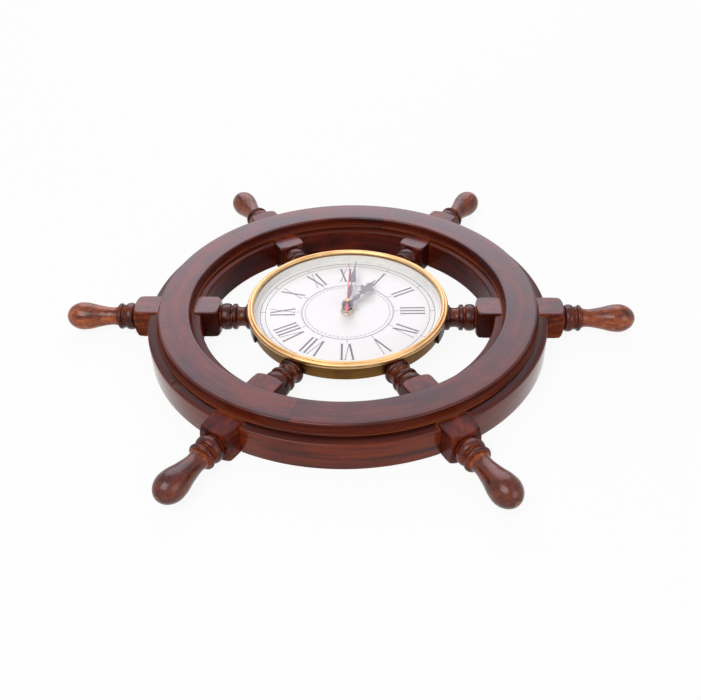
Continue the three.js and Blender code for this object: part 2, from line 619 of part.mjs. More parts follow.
const cannonFoot = CENTRE_LEVEL - SEAT - WHEEL_THICK / 2;
place('cannon_pinion', together([
  rod(MINUTE_PIPE, cannonFoot, MINUTE_HAND_TOP),
  rod(MINUTE_PIPE + CANNON.flange, cannonFoot, CENTRE_LEVEL - SEAT),
  pinion(CANNON.leaves, MOTION.module, 0, MOTION_LEVEL),
]).subtract(drill(ARBOR + RUNNING, cannonFoot, MINUTE_HAND_TOP, ARBOR_FACETS)), STEEL);

const motionPhase = meshing(0, CANNON.leaves, CANNON.turn, MOTION.teeth);
place('motion_wheel', together([
  arbor(MOTION_LEVEL - LEAF_OVER),
  wheel(MOTION.teeth, MOTION.module, motionPhase, MOTION_LEVEL),
  pinion(MOTION.leaves, hourModule, 0, HOUR_LEVEL, HOUR.thick),
]), PALE_PLASTIC, MOTION_AT);

const hourPhase = meshing(0, MOTION.leaves, CANNON.turn + 180, HOUR.teeth);
place('hour_wheel', together([
  wheel(HOUR.teeth, hourModule, hourPhase, HOUR_LEVEL, HOUR.thick),
  rod(HOUR_PIPE, HOUR_LEVEL, HOUR_HAND_TOP),
]).subtract(drill(MINUTE_PIPE + RUNNING, HOUR_LEVEL, HOUR_HAND_TOP)), PALE_PLASTIC);

const knobFrom = MOVEMENT_BACK - SEAT / 2;
const knobPhase = meshing(motionPhase, MOTION.teeth, KNOB.turn, KNOB.teeth);
place('setting_knob', together([
  rod(KNOB.radius, knobFrom, knobFrom + KNOB.height, BLOCK_FACETS),
  rod(KNOB.stem, knobFrom, MOTION_LEVEL),
  arbor(knobFrom),
  pinion(KNOB.teeth, MOTION.module, knobPhase, MOTION_LEVEL),
]), BLACK_PLASTIC, KNOB_AT);

// Movement housing

const statorFrom = magnetFrom + (ROTOR.height - STATOR.thick) / 2;
const statorTo = statorFrom + STATOR.thick;
const circuitTo = TRAIN_ROOF - CIRCUIT.drop;
const circuitFrom = circuitTo - CIRCUIT.thick;
const circuitRight = MOVEMENT_INNER - CIRCUIT.edge;
const circuitLeft = circuitRight - CIRCUIT.width;
const circuitHigh = MOVEMENT_TOP - MOVEMENT_WALL - CIRCUIT.edge;
const circuitLow = circuitHigh - CIRCUIT.depth;

function pivotHoles(places, from, to) {
  const hole = drill(ARBOR + RUNNING, from, to, ARBOR_FACETS);
  return together(places.map(([x, y]) => hole.translate([x, y, 0])));
}

// Posts that hang from the front plate and hold the circuit and the stator
function housingPosts() {
  const postTo = TRAIN_ROOF + FRONT_THICK / 2;
  const post = (x, y, foot) => rod(POST_RADIUS, foot + SEAT, postTo, ARBOR_FACETS).translate([x, y, 0]);
  const circuitY = circuitHigh - CIRCUIT.postInset;
  const statorX = ROTOR_AT[0] - STATOR.web / 2;
  const statorY = STATOR.half - STATOR.postInset;
  return together([
    post(circuitLeft + CIRCUIT.postInset, circuitY, circuitTo),
    post(circuitRight - CIRCUIT.postInset, circuitY, circuitTo),
    post(statorX, statorY, statorTo),
    post(statorX, -statorY, statorTo),
  ]);
}

function movementFront() {
  const from = TRAIN_FLOOR + SEAT;
  const inside = [-MOVEMENT_INNER, MOVEMENT_INNER];
  const hollow = box(inside, [BAY_BOTTOM, MOVEMENT_TOP - MOVEMENT_WALL], [from - THROUGH, TRAIN_ROOF]);
  const outside = [-MOVEMENT_HALF, MOVEMENT_HALF];
  const block = box(outside, [MOVEMENT_BOTTOM, MOVEMENT_TOP], [from, MOVEMENT_FRONT]);
  const wallHalf = MOVEMENT_INNER + MOVEMENT_WALL / 2;
  const wallTo = TRAIN_ROOF + FRONT_THICK / 2;
  const bayWall = box([-wallHalf, wallHalf], [BAY_TOP, BAY_WALL_TOP], [from, wallTo]);
  const bush = rod(BUSH_RADIUS, MOVEMENT_FRONT - FRONT_THICK / 2, BUSH_TOP, BLOCK_FACETS);
  return together([block.subtract(hollow), bayWall, housingPosts(), bush])
    .subtract(pivotHoles([FIFTH_AT, ROTOR_AT, THIRD_AT, KNOB_AT, MOTION_AT], TRAIN_ROOF, MOVEMENT_FRONT))
    .subtract(drill(BUSH_BORE, TRAIN_ROOF, BUSH_TOP));
}

function movementBack() {
  const sides = [-MOVEMENT_HALF, MOVEMENT_HALF];
  const plate = box(sides, [MOVEMENT_BOTTOM, MOVEMENT_TOP], [MOVEMENT_BACK, TRAIN_FLOOR]);
  const tabFrom = MOVEMENT_TOP + SEAT;
  const tabTo = MOVEMENT_TOP + HANGER.reach;
  const root = box(
    [-HANGER.half, HANGER.half],
    [MOVEMENT_TOP - MOVEMENT_WALL, tabFrom + MOVEMENT_WALL],
    [MOVEMENT_BACK, TRAIN_FLOOR],
  );
  const tab = outline([
    [-HANGER.half, tabFrom], [HANGER.half, tabFrom], [HANGER.half / 2, tabTo], [-HANGER.half / 2, tabTo],
  ]);
  tab.holes.push(new THREE.Path().absarc(0, MOVEMENT_TOP + HANGER.offset, HANGER.hole, 0, 2 * Math.PI));
  const bay = box(
    [-MOVEMENT_INNER, MOVEMENT_INNER],
    [BAY_BOTTOM, BAY_TOP],
    [MOVEMENT_BACK - THROUGH, TRAIN_FLOOR + THROUGH],
  );
  const knobHole = drill(KNOB.radius + SEAT, MOVEMENT_BACK, TRAIN_FLOOR, BLOCK_FACETS);
  return plate.add(root).add(prism(tab, MOVEMENT_BACK, MOVEMENT_BACK + HANGER.thick))
    .subtract(bay)
    .subtract(pivotHoles([FIFTH_AT, ROTOR_AT, THIRD_AT, CENTRE_AT], MOVEMENT_BACK, TRAIN_FLOOR))
    .subtract(knobHole.translate([...KNOB_AT, 0]));
}

place('movement_front', movementFront(), BLACK_PLASTIC);
place('movement_back', movementBack(), BLACK_PLASTIC);
const washer = pipe(WASHER.radius, BUSH_RADIUS + SEAT, MOVEMENT_FRONT + SEAT, DIAL_BACK - SEAT);
place('washer', washer, RUBBER);

const nutFrom = DIAL_FACE + SEAT;
const nutTo = nutFrom + NUT.height;
const nutBlank = rod(NUT.across / Math.sqrt(3), nutFrom, nutTo, 6);
const nutBore = drill(BUSH_RADIUS + RUNNING, nutFrom, nutTo, BLOCK_FACETS);
place('fixing_nut', nutBlank.subtract(nutBore), POLISHED_BRASS);

// Motor, circuit and battery

function stator() {
  const [rotorX, rotorY] = ROTOR_AT;
  const left = rotorX - STATOR.web;
  const right = rotorX + STATOR.web;
  const end = COIL_X + COIL.core + SEAT;
  const { half, arm } = STATOR;
  const shape = outline([
    [left, -half], [end, -half], [end, arm - half], [right, arm - half],
    [right, half - arm], [end, half - arm], [end, half], [left, half],
  ]);
  shape.holes.push(new THREE.Path().absarc(rotorX, rotorY, ROTOR.magnet + STATOR.gap, 0, 2 * Math.PI));
  return prism(shape, statorFrom, statorTo);
}

place('stator', stator(), STEEL);
const coreFrom = statorTo + SEAT;
const coreTo = coreFrom + COIL.core;
const coreReach = STATOR.half - SEAT;
const coreSides = [COIL_X - COIL.core, COIL_X + COIL.core];
place('coil_core', box(coreSides, [-coreReach, coreReach], [coreFrom, coreTo]), STEEL);
const coilBore = Math.hypot(COIL.core, COIL.core / 2) + SEAT;
const coilHalf = STATOR.half - STATOR.arm - COIL.air;
const winding = pipe(COIL.radius, coilBore, -coilHalf, coilHalf).rotate([90, 0, 0]);
place('coil', winding.translate([COIL_X, 0, (coreFrom + coreTo) / 2]), COPPER);

const board = box([circuitLeft, circuitRight], [circuitLow, circuitHigh], [circuitFrom, circuitTo]);
place('circuit_board', board, CIRCUIT_GREEN);
const crystalX = circuitRight - CRYSTAL.inward;
const crystalY = circuitLow + CRYSTAL.upward;
const crystal = rod(CRYSTAL.radius, -CRYSTAL.length / 2, CRYSTAL.length / 2).rotate([0, 90, 0]);
const crystalZ = circuitFrom - SEAT - CRYSTAL.radius;
place('quartz_crystal', crystal.translate([crystalX, crystalY, crystalZ]), STEEL);

function battery() {
  const half = BATTERY.length / 2;
  const shape = turned([
    [0, -half],
    [BATTERY.radius - BATTERY.edge, -half],
    [BATTERY.radius, BATTERY.edge - half],
    [BATTERY.radius, half - BATTERY.edge],
    [BATTERY.radius - BATTERY.edge, half],
    [BATTERY.nub, half],
    [BATTERY.nub, half + BATTERY.nubLength],
    [0, half + BATTERY.nubLength],
  ], 16);
  return shape.rotate([0, 90, 0]).translate([-BATTERY.nubLength / 2, BATTERY_AXIS.y, BATTERY_AXIS.z]);
}

place('battery', battery(), BATTERY_JACKET);

const contactY = [BATTERY_AXIS.y - CONTACT.half, BATTERY_AXIS.y + CONTACT.half];
const contactZ = [TRAIN_FLOOR + SEAT, TRAIN_ROOF - SEAT];
place('contact_plus', box([BATTERY_END, BATTERY_END + CONTACT.thick], contactY, contactZ), STEEL);
place('contact_minus', box([-BATTERY_END - CONTACT.thick, -BATTERY_END], contactY, contactZ), STEEL);

// Hands: half outlines of [half width, share of the way from boss to tip], up one side, then mirrored

const HOUR_FORM = [
  [1.3, 0], [1.2, 0.12], [2.5, 0.21], [2.3, 0.28], [1, 0.36], [1.1, 0.43], [3.3, 0.46], [2.2, 0.52],
  [5.6, 0.63], [6, 0.68], [4.4, 0.7], [3.2, 0.67], [2.6, 0.74], [3.2, 0.81], [1.6, 0.84], [0.7, 0.89],
  [0.3, 1],
];
const MINUTE_FORM = [
  [0.9, 0], [1, 0.08], [2.3, 0.16], [2.7, 0.25], [2.1, 0.33], [0.7, 0.4], [0.8, 0.46], [2.7, 0.48],
  [1.8, 0.53], [3.4, 0.58], [2.6, 0.64], [1.9, 0.69], [0.9, 0.75], [0.6, 0.81], [0.25, 1],
];
const SECOND_FORM = [[0.45, 0], [0.25, 1]];
const TAIL_FORM = [[0.1, -1], [1.6, -0.8], [0.6, -0.33]];

function symmetric(side) {
  const mirrored = side.map(([half, y]) => [-half, y]).reverse();
  return outline([...side, ...mirrored]);
}

const stretched = (form, from, to) => form.map(([half, share]) => [half, from + share * (to - from)]);

// A blade's root lies inside its boss
const BOSS_LAP = 0.8;
const fromBoss = (form, { boss, length }) => stretched(form, boss * BOSS_LAP, length);

function hand(side, { boss, turn }, bore, top) {
  const from = top - HAND_THICK;
  const blade = prism(symmetric(side), from, top);
  const ring = rod(boss, from, top, BLOCK_FACETS);
  return blade.add(ring).subtract(drill(bore, from, top)).rotate([0, 0, -turn]);
}

const hourSide = fromBoss(HOUR_FORM, HOUR_HAND);
place('hour_hand', hand(hourSide, HOUR_HAND, HOUR_PIPE + RUNNING, HOUR_HAND_TOP), HAND_GREY);
const minuteSide = fromBoss(MINUTE_FORM, MINUTE_HAND);
place('minute_hand', hand(minuteSide, MINUTE_HAND, MINUTE_PIPE + RUNNING, MINUTE_HAND_TOP), HAND_GREY);
const tailSide = stretched(TAIL_FORM, 0, SECOND_HAND.tail);
const secondSide = [...tailSide, ...stretched(SECOND_FORM, 0, SECOND_HAND.length)];
place('second_hand', hand(secondSide, SECOND_HAND, ARBOR + RUNNING, SECOND_HAND_TOP), HAND_RED);
place('second_hand_cap', rod(SECOND_HAND.cap, CAP_FROM, CAP_FROM + HAND_THICK), POLISHED_BRASS);

export default clock;
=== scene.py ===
"""Looks of a ship wheel clock.

A six-spoked wheel of turned and lacquered mahogany carries a domed dial clock in a brass case.
Sizes are in millimetres and become metres when a mesh is made.
"""

import logging
import math
from collections.abc import Sequence
from dataclasses import dataclass
from enum import Enum

import bpy
import numpy as np
from mathutils import Matrix, Vector


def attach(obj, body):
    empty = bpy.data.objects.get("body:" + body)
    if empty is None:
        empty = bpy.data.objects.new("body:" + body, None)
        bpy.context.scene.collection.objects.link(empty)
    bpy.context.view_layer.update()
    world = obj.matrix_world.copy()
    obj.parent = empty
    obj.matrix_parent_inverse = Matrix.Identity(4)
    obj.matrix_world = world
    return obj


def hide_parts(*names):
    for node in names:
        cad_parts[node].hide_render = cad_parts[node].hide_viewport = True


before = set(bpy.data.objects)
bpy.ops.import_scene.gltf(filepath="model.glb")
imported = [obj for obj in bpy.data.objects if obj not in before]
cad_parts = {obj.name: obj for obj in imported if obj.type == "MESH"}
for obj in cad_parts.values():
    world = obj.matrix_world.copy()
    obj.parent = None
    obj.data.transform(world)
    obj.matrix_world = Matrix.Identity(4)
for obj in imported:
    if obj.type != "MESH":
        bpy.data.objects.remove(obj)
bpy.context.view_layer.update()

log = logging.getLogger("ship_wheel_clock")

MM = 0.001
FULL_TURN = 2 * math.pi
SPOKE_COUNT = 6
SPAN = FULL_TURN / SPOKE_COUNT
WHEEL_BODY = "wheel_and_case"
CREASE = 32.0  # degrees above which an edge stays crisp

# Sockets of the Mix node when it mixes colours
MIX_FACTOR, MIX_FIRST, MIX_SECOND, MIX_RESULT = 0, 6, 7, 2

Pair = tuple[float, float]
Outline = Sequence[Pair]
Attributes = dict[str, np.ndarray]
Owner = bpy.types.Material | bpy.types.World
Socket = bpy.types.NodeSocket
Piece = bpy.types.Object


def srgb(code: str) -> tuple[float, float, float, float]:
    """A hex colour as linear red, green, blue and alpha 1.

    Args:
        code: six hex digits after a number sign.

    Returns:
        Four numbers from 0 to 1.
    """
    values = [int(code[i : i + 2], 16) / 255 for i in (1, 3, 5)]
    linear = [v / 12.92 if v <= 0.04045 else ((v + 0.055) / 1.055) ** 2.4 for v in values]
    return (*linear, 1.0)


def new_material(name: str) -> bpy.types.Material:
    """An empty node material.

    Args:
        name: the finish's name.

    Returns:
        The material, with no nodes.
    """
    material = bpy.data.materials.new(name)
    material.use_nodes = True
    material.node_tree.nodes.clear()
    return material


def add_node(
    owner: Owner,
    kind: str,
    inputs: dict[str | int, object] | None = None,
    stops: tuple[tuple[float, str], ...] = (),
    **settings: object,
) -> bpy.types.NodeOutputs:
    """Adds one shader node with its settings, values and links.

    Args:
        owner: the material or world that gets the node.
        kind: Blender's name of the node type, after ShaderNode.
        inputs: by name or place of an input, its value or the output that feeds it.
        stops: place from 0 to 1 and hex colour of each stop, where the node has a colour ramp.
        **settings: the node's own properties.

    Returns:
        The new node's outputs.
    """
    tree = owner.node_tree
    node = tree.nodes.new(f"ShaderNode{kind}")
    for key, value in settings.items():
        setattr(node, key, value)
    for key, value in (inputs or {}).items():
        if isinstance(value, Socket):
            tree.links.new(value, node.inputs[key])
        else:
            node.inputs[key].default_value = value
    for number, (place, code) in enumerate(stops):
        elements = node.color_ramp.elements
        element = elements[number] if number < len(elements) else elements.new(place)
        element.position = place
        element.color = srgb(code)
    return node.outputs


def rescaled(owner: Owner, value: Socket, source: Pair, target: Pair = (0.0, 1.0)) -> Socket:
    """A value moved from the range source to the range target, and held inside it."""
    ranges = dict(zip(("From Min", "From Max", "To Min", "To Max"), (*source, *target)))
    return add_node(owner, "MapRange", {"Value": value, **ranges})["Result"]


def arithmetic(owner: Owner, operation: str, *terms: Socket | float, clamp: bool = False) -> Socket:
    """The result of one operation of the Math node on its terms, held from 0 to 1 if clamp is set."""
    return add_node(owner, "Math", dict(enumerate(terms)), operation=operation, use_clamp=clamp)[0]


def noise(owner: Owner, vector: Socket, scale: float, detail: float, roughness: float) -> Socket:
    """Noise around 0.5, with its features 1 / scale long."""
    inputs = {"Vector": vector, "Scale": scale, "Detail": detail, "Roughness": roughness}
    return add_node(owner, "TexNoise", inputs)["Fac"]


def close_material(
    material: bpy.types.Material, shader: dict[str | int, object], bump: float, height: Socket
) -> bpy.types.Material:
    """Adds the bump, the shader and the output.

    Args:
        material: the material to complete.
        shader: values and links of the Principled BSDF.
        bump: depth of the relief in millimetres.
        height: the relief, from 0 to 1.

    Returns:
        The same material.
    """
    relief = add_node(material, "Bump", {"Height": height, "Distance": bump * MM, "Strength": 1.0})
    surface = add_node(material, "BsdfPrincipled", {**shader, "Normal": relief["Normal"]})
    add_node(material, "OutputMaterial", {"Surface": surface["BSDF"]})
    return material


class Grain(Enum):
    """Where a wood's pattern takes its coordinates from."""

    BOARD = "board"  # the piece's attribute, in millimetres along, across and through the board
    OBJECT = "object"  # Object coordinates, for the plain solids under the pieces


@dataclass(frozen=True)
class LacqueredWood:
    """Mahogany, stained dark red and brushed with glossy lacquer: soft cloudy patches drawn out by
    the brush lie under a clear skin that mirrors the room, and stain has pooled in the recesses.

    The pattern is solid, with the streaks along the board. One vector attribute holds three shares:
    stain pooled orange; stain gone dark, together with painted shade on sides, in recesses and in
    creases; and pale wax caught, together with a painted highlight along the face ring's lip.
    "lacquer" is the share of the clear coat: thick on the faces that were rubbed down, thin in
    corners and on inner walls. Each pattern has its size along and across the board in millimetres.
    """

    dark: str
    body: str
    red: str
    pooled: str
    bare: str = "#c4743c"
    # The wax colour also paints a highlight along the face ring's lip.
    wax: str = "#a05c2c"
    streaks: Pair = (70.0, 4.0)
    clouds: Pair = (48.0, 17.0)
    pores: Pair = (7.0, 0.45)
    waves: Pair = (34.0, 12.0)
    mottle: Pair = (3.6, 1.8)
    tone: Pair = (1.15, 1.85)  # range of clouds and streaks that the stains are spread over
    roughness: Pair = (0.26, 0.4)
    pore_share: float = 0.22
    mottle_share: float = 0.2
    bare_share: float = 0.0
    pore_depth: float = 0.05
    wave_depth: float = 0.3
    refraction: float = 1.5
    skin_roughness: float = 0.12
    sheen: float = 0.06  # the stained wood under the skin hardly mirrors
    sheen_tint: str = "#efe5fb"
    grain: Grain = Grain.BOARD

    def board(self, wood: bpy.types.Material) -> Socket:
        """Coordinates in the board, in millimetres.

        Args:
            wood: the material.

        Returns:
            The output that holds them.
        """
        if self.grain is Grain.BOARD:
            return add_node(wood, "Attribute", attribute_name="board")["Vector"]
        place = add_node(wood, "TexCoord")["Object"]
        return add_node(wood, "Mapping", {"Vector": place, "Scale": (1 / MM,) * 3})["Vector"]

    def material(self, name: str) -> bpy.types.Material:
        """Builds the finish.

        Args:
            name: the material's name.

        Returns:
            The wood's material.
        """
        wood = new_material(name)
        board = self.board(wood)
        wear_and_painted_light = add_node(wood, "Attribute", attribute_name="wear_and_painted_light")["Vector"]
        pooled, dark_stain_and_shade, wax_and_highlight = add_node(wood, "SeparateXYZ", {"Vector": wear_and_painted_light})
        lacquer = add_node(wood, "Attribute", attribute_name="lacquer")["Fac"]
        details = {"streaks": 3.0, "clouds": 3.0, "pores": 2.0, "waves": 1.0, "mottle": 3.0}
        patterns = {}
        for key, detail in details.items():
            along, across = getattr(self, key)
            scale = (1 / along, 1 / across, 1 / across)
            scaled = add_node(wood, "Mapping", {"Vector": board, "Scale": scale})["Vector"]
            patterns[key] = noise(wood, scaled, scale=1.0, detail=detail, roughness=0.6)
        figure = arithmetic(wood, "MULTIPLY_ADD", patterns["clouds"], 2.0, patterns["streaks"])
        stains = ((0.0, self.dark), (0.45, self.body), (1.0, self.red))
        colour = add_node(wood, "ValToRGB", {"Fac": rescaled(wood, figure, self.tone)}, stains)["Color"]
        # Each layer: its colour, its share, its pattern, the pattern's range and the layer's strengths
        layers = (
            (self.pooled, pooled, "streaks", (0.38, 0.58), (0.15, 1.0)),
            # The second share darkens the wood: dark stain, and painted shade on sides, in recesses and in
            # creases.
            (self.dark, dark_stain_and_shade, "clouds", (0.3, 0.6), (0.6, 1.0)),
            (self.bare, pooled, "mottle", (0.45, 0.34), (0.0, self.bare_share)),
            (self.dark, 1.0, "mottle", (0.54, 0.66), (0.0, self.mottle_share)),
            (self.dark, 1.0, "pores", (0.58, 0.7), (0.0, self.pore_share)),
            # The third share lays the wax colour: wax and glue, and a painted highlight along the face
            # ring's lip.
            (self.wax, wax_and_highlight, "mottle", (0.3, 0.5), (0.2, 1.0)),
        )
        for code, share, key, spread, strengths in layers:
            strength = rescaled(wood, patterns[key], spread, strengths)
            laid = arithmetic(wood, "MULTIPLY", strength, share, clamp=True)
            mixed = {MIX_FACTOR: laid, MIX_FIRST: colour, MIX_SECOND: srgb(code)}
            colour = add_node(wood, "Mix", mixed, data_type="RGBA")[MIX_RESULT]
        roughness = rescaled(wood, patterns["clouds"], (0.35, 0.65), self.roughness)
        relief = arithmetic(wood, "MULTIPLY_ADD", patterns["pores"], -self.pore_depth, patterns["waves"])
        shader = {
            "Base Color": colour,
            "Roughness": roughness,
            "IOR": self.refraction,
            "Specular IOR Level": self.sheen,
            "Specular Tint": srgb(self.sheen_tint),
            "Coat Weight": lacquer,
            "Coat Roughness": self.skin_roughness,
            "Coat IOR": self.refraction,
        }
        return close_material(wood, shader, self.wave_depth, relief)


class Marks(Enum):
    """How the marks of a surface run."""

    TURNED = "turned"  # fine circles about the clock's axis
    EVEN = "even"  # grains without direction


@dataclass(frozen=True)
class PlainFinish:
    """A finish of one colour with fine marks and slow drifts of tone.

    Spun and turned metal shows circles about the clock's axis; painted, moulded and rolled parts
    show an even grain. The pattern reads Object coordinates. Sizes are in millimetres.
    """

    low: str
    high: str
    roughness: Pair
    metallic: float = 0.0
    ior: float = 1.5
    coat: float = 0.0
    coat_roughness: float = 0.08
    marks: Marks = Marks.EVEN
    mark_size: float = 0.4
    drift_size: float = 14.0
    depth: float = 0.01

    def material(self, name: str) -> bpy.types.Material:
        """Builds the finish.

        Args:
            name: the material's name.

        Returns:
            The material.
        """
        finish = new_material(name)
        place = add_node(finish, "TexCoord")["Object"]
        vector = place if self.marks is Marks.EVEN else self.circles(finish, place)
        fine = noise(finish, vector, 1 / (self.mark_size * MM), detail=2.0, roughness=0.55)
        drift = noise(finish, place, 1 / (self.drift_size * MM), detail=4.0, roughness=0.6)
        tone = rescaled(finish, arithmetic(finish, "ADD", fine, drift), (0.7, 1.3))
        colours = ((0.0, self.low), (1.0, self.high))
        shader = {
            "Base Color": add_node(finish, "ValToRGB", {"Fac": tone}, colours)["Color"],
            "Roughness": rescaled(finish, drift, (0.3, 0.7), self.roughness),
            "Metallic": self.metallic,
        }
        if self.metallic < 1:
            shader["IOR"] = self.ior
        if self.coat > 0:
            shader["Coat Weight"] = self.coat
            shader["Coat Roughness"] = self.coat_roughness
        return close_material(finish, shader, self.depth, fine)

    @staticmethod
    def circles(finish: bpy.types.Material, place: Socket, stretch: float = 0.02) -> Socket:
        """Coordinates that change fast across the turning marks and slowly along them.

        The vector is (radius, height, stretch times the sum of x and y), so a noise on it draws out
        into circles about the axis.

        Args:
            finish: the material.
            place: Object coordinates.
            stretch: how fast the noise changes along a circle.

        Returns:
            The new coordinates.
        """
        x, y, z = add_node(finish, "SeparateXYZ", {"Vector": place})
        flat = add_node(finish, "CombineXYZ", {"X": x, "Y": y})["Vector"]
        radius = add_node(finish, "VectorMath", {0: flat}, operation="LENGTH")["Value"]
        slow = arithmetic(finish, "MULTIPLY", arithmetic(finish, "ADD", x, y), stretch)
        return add_node(finish, "CombineXYZ", {"X": radius, "Y": z, "Z": slow})["Vector"]


@dataclass(frozen=True)
class ClearGlass:
    """Pressed clock glass: seen through, with a mirror-like skin that grows strong where it is
    seen at a slant. Faint smears soften the reflections."""

    tint: str = "#ffffff"
    smear_size: float = 30.0
    smear_depth: float = 0.01
    roughness: Pair = (0.02, 0.07)
    straight_on: float = 0.005  # strength of the skin where it is seen straight on
    steepness: float = 12.0  # power of the slant at which the skin grows

    def material(self, name: str) -> bpy.types.Material:
        """Builds the glass.

        Args:
            name: the material's name.

        Returns:
            The material.
        """
        glass = new_material(name)
        place = add_node(glass, "TexCoord")["Object"]
        smears = noise(glass, place, 1 / (self.smear_size * MM), detail=3.0, roughness=0.5)
        rough = rescaled(glass, smears, (0.3, 0.7), self.roughness)
        facing = add_node(glass, "LayerWeight", {"Blend": 0.5})["Facing"]
        steep = arithmetic(glass, "POWER", facing, self.steepness)
        skin = rescaled(glass, steep, (0.0, 1.0), (self.straight_on, 1.0))
        shader = {"Base Color": srgb(self.tint), "Metallic": 1.0, "Roughness": rough, "Alpha": skin}
        return close_material(glass, shader, self.smear_depth, smears)


WOOD_STAINS = ("#35120d", "#501a11", "#6f2815", "#7a2e0e")
TURNED_STAINS = ("#33100a", "#581c12", "#7c321a", "#a44f22")


class Look(Enum):
    """The clock's finishes: each one's own name, its material slot in the record and its recipe."""

    # Flat wood: cloudy dark red under a wet-looking skin that turns mauve where it mirrors the light.
    # The real pores are 0.1 mm wide; they are drawn 0.45 mm wide, as finer ones don't show.
    WOOD = "brushed_lacquer_mahogany", "lacquered_mahogany", LacqueredWood(*WOOD_STAINS)
    # Turned wood: worn to orange in blotches on the grips, and less glossy than the flat faces.
    TURNED_WOOD = "turned_lacquer_mahogany", "turned_mahogany", LacqueredWood(
        *TURNED_STAINS,
        streaks=(24.0, 6.0),
        clouds=(24.0, 12.0),
        mottle=(4.0, 3.0),
        mottle_share=0.4,
        bare_share=0.6,
        skin_roughness=0.21,
    )
    # The same two stains for the solids inside the pieces that are seen, which have no boards.
    WOOD_CORE = "mahogany_core", "lacquered_mahogany", LacqueredWood(*WOOD_STAINS, grain=Grain.OBJECT)
    TURNED_CORE = (
        "turned_mahogany_core", "turned_mahogany",
        LacqueredWood(*TURNED_STAINS, grain=Grain.OBJECT),
    )
    # The drum: brown brass with a dull glow and fine rings. Real spinning marks are 0.1 mm apart;
    # they are drawn 0.5 mm apart, as finer ones don't show.
    AGED_BRASS = (
        "aged_spun_brass", "aged_brass",
        PlainFinish("#573a1b", "#84602f", (0.36, 0.5), metallic=1.0, marks=Marks.TURNED, mark_size=0.5),
    )
    # The bezel: pale gold with soft bright bands that run round it. Its marks are drawn 0.3 mm apart.
    BRASS = (
        "polished_spun_brass", "polished_brass",
        PlainFinish("#c1945f", "#e3bd8b", (0.32, 0.44), metallic=1.0, marks=Marks.TURNED, mark_size=0.3),
    )
    # The fixing nut: greyish beige metal with a broad soft highlight.
    PLATED_BRASS = (
        "satin_nickelled_brass", "polished_brass",
        PlainFinish("#bfb1a1", "#d2c6b7", (0.44, 0.54), metallic=1.0),
    )
    # The second hand's cap: a beige gold dot without a sharp highlight.
    GILT_BRASS = (
        "satin_gilt_brass", "polished_brass",
        PlainFinish("#ab957b", "#bba68c", (0.46, 0.56), metallic=1.0),
    )
    # The glass: clear from above, with a faint skin of mirrored light near its edge.
    GLASS = "pressed_clock_glass", "clear_glass", ClearGlass()
    # The dial: an even, nearly matt white with slow drifts of tone 40 mm long.
    ENAMEL = (
        "stoved_dial_enamel", "white_enamel",
        PlainFinish("#f2f2f2", "#f8f8f7", (0.35, 0.5), drift_size=40.0),
    )
    # The numerals, the outer rings and the dashes: flat warm grey, a little uneven as print is.
    INK = "pad_printed_grey_ink", "grey_hand_paint", PlainFinish("#736e75", "#7f7a81", (0.5, 0.6))
    # The inner ring: the same ink, drawn wide and pale, as its real thin line doesn't show.
    PALE_INK = "pad_printed_pale_ink", "grey_hand_paint", PlainFinish("#b9b6bc", "#c5c2c7", (0.5, 0.6))
    # The spacer ring and the plastic wheels: soft white with a broad dull highlight.
    WHITE_PLASTIC = (
        "moulded_acetal", "white_plastic",
        PlainFinish("#f4f2f0", "#faf9f8", (0.4, 0.55), ior=1.48),
    )
    # The hour and minute hands: flat grey against the dial.
    GREY_PAINT = "grey_painted_sheet", "grey_hand_paint", PlainFinish("#838088", "#908c93", (0.4, 0.55))
    # The second hand: a light red line.
    RED_PAINT = "red_painted_sheet", "red_hand_paint", PlainFinish("#e5606f", "#ef7684", (0.4, 0.55))
    # The movement's housing: black with the grey bloom of a spark-eroded mould. Its grain is really
    # 0.1 mm; it is drawn 0.7 mm, as a finer one doesn't show.
    BLACK_PLASTIC = (
        "moulded_black_abs", "black_plastic",
        PlainFinish("#17171a", "#222226", (0.42, 0.6), ior=1.52, mark_size=0.7, depth=0.02),
    )
    # The washer: dull dark grey without a highlight.
    RUBBER = "nitrile_rubber", "rubber", PlainFinish("#222224", "#303032", (0.75, 0.9))
    # Arbors, contacts and laminations: cold grey metal with tight highlights.
    STEEL = (
        "rolled_bright_steel", "bright_steel",
        PlainFinish("#a9acb0", "#c6c9cc", (0.24, 0.38), metallic=1.0),
    )
    # The coil: orange brown with the sheen of its enamel.
    COPPER = (
        "enamelled_copper_wire", "copper_winding",
        PlainFinish("#9c5424", "#c5763a", (0.25, 0.4), coat=0.6),
    )
    # The circuit board: mid green, with a gloss that varies a little.
    BOARD = "green_solder_mask", "circuit_board", PlainFinish("#255a38", "#36754d", (0.3, 0.45))
    # The battery's jacket: slate blue with a film's clear gloss, plain and without lettering.
    JACKET = (
        "printed_foil_jacket", "battery_jacket",
        PlainFinish("#2c3a4a", "#42546a", (0.22, 0.32), coat=0.5),
    )

    @property
    def slot(self) -> str:
        """The record's material slot."""
        return self.value[1]


def new_object(name: str, data: bpy.types.ID) -> Piece:
    """Puts a mesh, a lamp or a camera into the scene.

    Args:
        name: the object's name.
        data: what the object holds.

    Returns:
        The object, at the origin.
    """
    piece = bpy.data.objects.new(name, data)
    bpy.context.scene.collection.objects.link(piece)
    return piece


